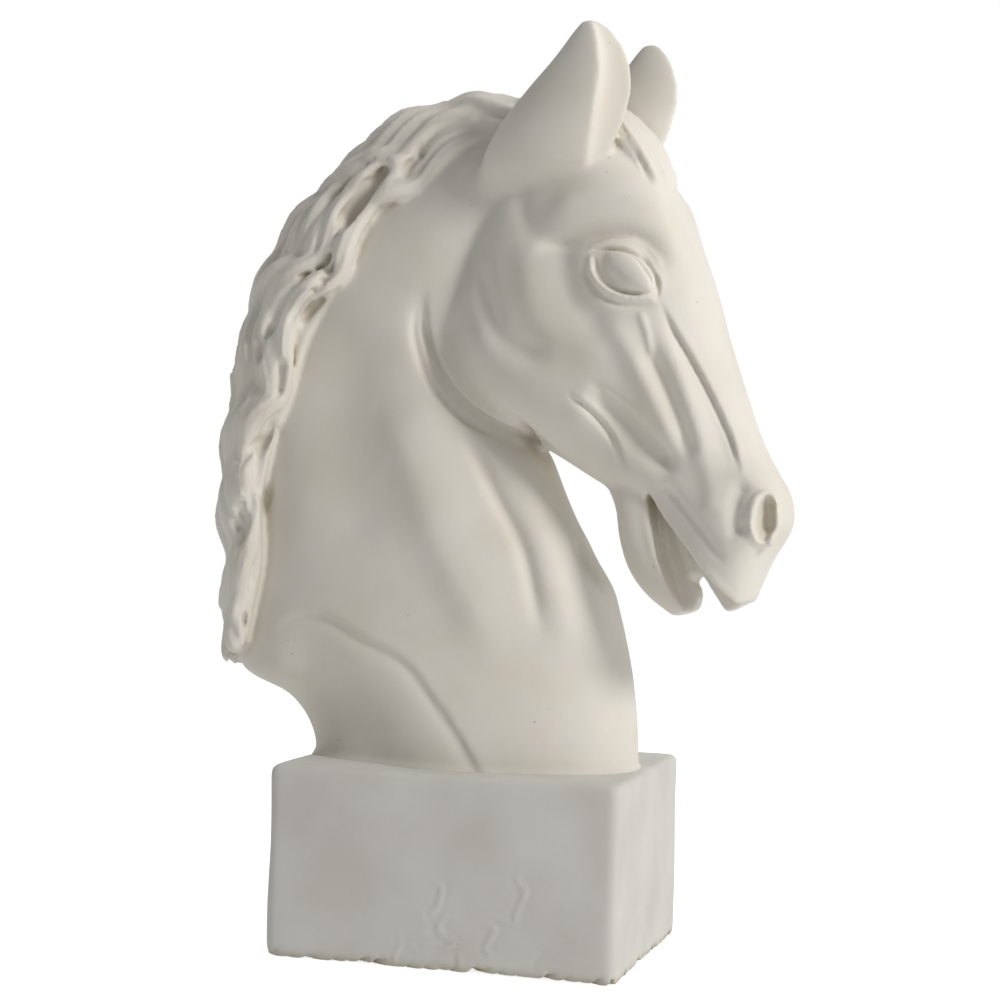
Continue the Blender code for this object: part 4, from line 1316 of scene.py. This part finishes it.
class KNIGHT_OT_underside(bpy.types.Operator):
    """Finish the feet, the filler bush, its plug and the seal"""
    bl_idname = "knight.underside"
    bl_label = "Feet and plug"

    def execute(self, context):
        colours = context.scene.knight_colours
        rubber = moulded_black("Rubber, moulded", (colours.rubber, colours.rubber_scuff), 0.9, 0.8, 0.5)
        paint_nodes([f"foot_{k}" for k in (1, 2, 3, 4)] + ["plug_seal_ring"], rubber)
        pair = (colours.polyethylene, colours.polyethylene_scuff)
        moulded = moulded_black("Polyethylene, moulded", pair, 1.4, 0.45, 0.3)
        paint_nodes(["filler_bush", "filler_plug"], moulded)
        return {"FINISHED"}


def studio_world():
    """White surround, brighter behind the piece and on the side that its nose points to."""
    world = bpy.data.worlds.new("Studio")
    world.use_nodes = True
    place = add_node(world, "TexCoord").outputs["Generated"]
    behind = add_node(world, "VectorMath", {0: place, 1: (0.5, 0.866, 0.0)}, operation="DOT_PRODUCT")
    around = add_node(
        world, "MapRange",
        {"Value": behind.outputs["Value"], "From Min": -0.8, "From Max": 0.9, "To Min": 0.07, "To Max": 0.56},
    )
    height = add_node(world, "SeparateXYZ", {0: place}).outputs["Z"]
    above = add_node(world, "MapRange", {"Value": height, "To Min": 0.0, "To Max": 0.13})
    strength = add_node(world, "Math", {0: around.outputs[0], 1: above.outputs[0]}, operation="ADD")
    white = (1.0, 1.0, 1.0, 1.0)
    light = add_node(world, "Background", {"Color": white, "Strength": strength.outputs[0]})
    backdrop = add_node(world, "Background", {"Color": white, "Strength": 1.0})
    seen = add_node(world, "LightPath").outputs["Is Camera Ray"]
    both = add_node(world, "MixShader", {0: seen, 1: light.outputs[0], 2: backdrop.outputs[0]})
    connect(world.node_tree.nodes["World Output"], {"Surface": both.outputs[0]})
    return world


def studio_floor():
    """Round pale floor, which shows only from above, so that the underside can be looked at."""
    clay = Clay()
    around = np.linspace(0.0, 2.0 * math.pi, 96, endpoint=False)
    rings = []
    for radius, height in ((0.01, 0.0), (3.0, 0.0), (3.0, -0.02), (0.01, -0.02)):
        ring = np.column_stack([np.cos(around), np.sin(around), np.zeros(len(around))]) * radius
        rings.append(ring + np.array([0.0, 0.0, height]))
    clay.add_rings(rings)
    floor = clay.add_object("studio_floor")
    material, shader, place = new_material("Studio floor, matt paint")
    speck = add_node(material, "TexNoise", {"Vector": place, "Scale": per_metre(200.0)})
    colour = add_node(
        material, "Mix",
        {SHARE: speck.outputs[0], FIRST: linear("#F7F7F6"), SECOND: linear("#FAFAF9")}, data_type="RGBA",
    )
    seen = add_node(material, "LightPath").outputs["Is Camera Ray"]
    glow = add_node(material, "MapRange", {"Value": seen, "To Min": 0.12, "To Max": 0.8})
    connect(shader, {
        "Base Color": colour.outputs[MIXED],
        "Roughness": 0.9,
        "Emission Color": linear("#FFFFFF"),
        "Emission Strength": glow.outputs[0],
    })
    faces = add_node(material, "NewGeometry").outputs["Normal"]
    split = add_node(material, "SeparateXYZ", {0: faces})
    below = add_node(material, "Math", {0: split.outputs["Z"], 1: 0.0}, operation="LESS_THAN")
    clear = add_node(material, "BsdfTransparent")
    both = add_node(material, "MixShader", {0: below.outputs[0], 1: shader.outputs[0], 2: clear.outputs[0]})
    connect(material.node_tree.nodes["Material Output"], {"Surface": both.outputs[0]})
    floor.data.materials.append(material)
    return floor


def add_soft_light(name, place, size, power, tint):
    """Round soft light that looks at the middle of the piece."""
    light = bpy.data.lights.new(name, "AREA")
    light.shape = "DISK"
    light.size = size
    light.energy = power
    light.color = tint
    lamp = bpy.data.objects.new(name, light)
    bpy.context.scene.collection.objects.link(lamp)
    lamp.location = place
    aim = Vector((0.0, 0.0, 0.3)) - lamp.location
    lamp.rotation_euler = aim.to_track_quat("-Z", "Y").to_euler()


def add_camera():
    """Camera nearly level with the piece, a little round towards its front and tilted by a hair."""
    camera = bpy.data.cameras.new("Camera")
    camera.sensor_width = 36.0
    camera.lens = 81.25
    eye = bpy.data.objects.new("Camera", camera)
    bpy.context.scene.collection.objects.link(eye)
    yaw, elevation, roll = math.radians(16.0), math.radians(0.5), math.radians(1.6)
    back = Vector((
        math.sin(yaw) * math.cos(elevation), -math.cos(yaw) * math.cos(elevation), math.sin(elevation)
    ))
    right = Vector((math.cos(yaw), math.sin(yaw), 0.0))
    up = back.cross(right)
    rolled_right = right * math.cos(roll) + up * math.sin(roll)
    rolled_up = up * math.cos(roll) - right * math.sin(roll)
    target = Vector((0.0075 + ORIGIN_SHIFT, 0.0, 0.2896))
    matrix = Matrix((rolled_right, rolled_up, back)).transposed().to_4x4()
    matrix.translation = target + back * 1.4667
    eye.matrix_world = matrix
    return eye


class KNIGHT_OT_stage(bpy.types.Operator):
    """Set the pale floor, the soft lights and the camera"""
    bl_idname = "knight.stage"
    bl_label = "Stage"

    def execute(self, context):
        floor = studio_floor()
        context.scene.world = studio_world()
        context.scene.view_settings.view_transform = "Standard"
        add_soft_light("Key", (1.6, -0.78, 1.35), 0.45, 22.0, (1.0, 0.975, 0.935))
        add_soft_light("Edge", (-1.6, 0.2, 1.2), 1.0, 4.0, (1.0, 1.0, 1.0))
        context.scene.camera = add_camera()
        return {"FINISHED"}


STEPS = (
    KNIGHT_OT_sculpt, KNIGHT_OT_ears, KNIGHT_OT_lower_jaw, KNIGHT_OT_mane, KNIGHT_OT_bust,
    KNIGHT_OT_plinth, KNIGHT_OT_fixings, KNIGHT_OT_boards, KNIGHT_OT_underside, KNIGHT_OT_stage,
)


class KNIGHT_PT_panel(bpy.types.Panel):
    """Sizes, colours and steps of the knight piece"""
    bl_idname = "KNIGHT_PT_panel"
    bl_label = "Giant Chess Knight"
    bl_space_type = "VIEW_3D"
    bl_region_type = "UI"
    bl_category = "Chess Knight"

    def draw(self, context):
        for group in (context.scene.knight_sizes, context.scene.knight_colours):
            box = self.layout.box()
            for name in group.bl_rna.properties.keys():
                if name not in ("rna_type", "name"):
                    box.prop(group, name)
        for step in STEPS:
            self.layout.operator(step.bl_idname)


CLASSES = (KnightSizes, KnightColours, *STEPS, KNIGHT_PT_panel)


def register():
    for cls in CLASSES:
        bpy.utils.register_class(cls)
    bpy.types.Scene.knight_sizes = PointerProperty(type=KnightSizes)
    bpy.types.Scene.knight_colours = PointerProperty(type=KnightColours)


def unregister():
    del bpy.types.Scene.knight_colours
    del bpy.types.Scene.knight_sizes
    for cls in reversed(CLASSES):
        bpy.utils.unregister_class(cls)


def main():
    register()
    bpy.ops.knight.sculpt()
    bpy.ops.knight.ears()
    bpy.ops.knight.lower_jaw()
    bpy.ops.knight.mane()
    bpy.ops.knight.bust()
    bpy.ops.knight.plinth()
    bpy.ops.knight.fixings()
    bpy.ops.knight.boards()
    bpy.ops.knight.underside()
    bpy.ops.knight.stage()


if __name__ == "__main__":
    main()
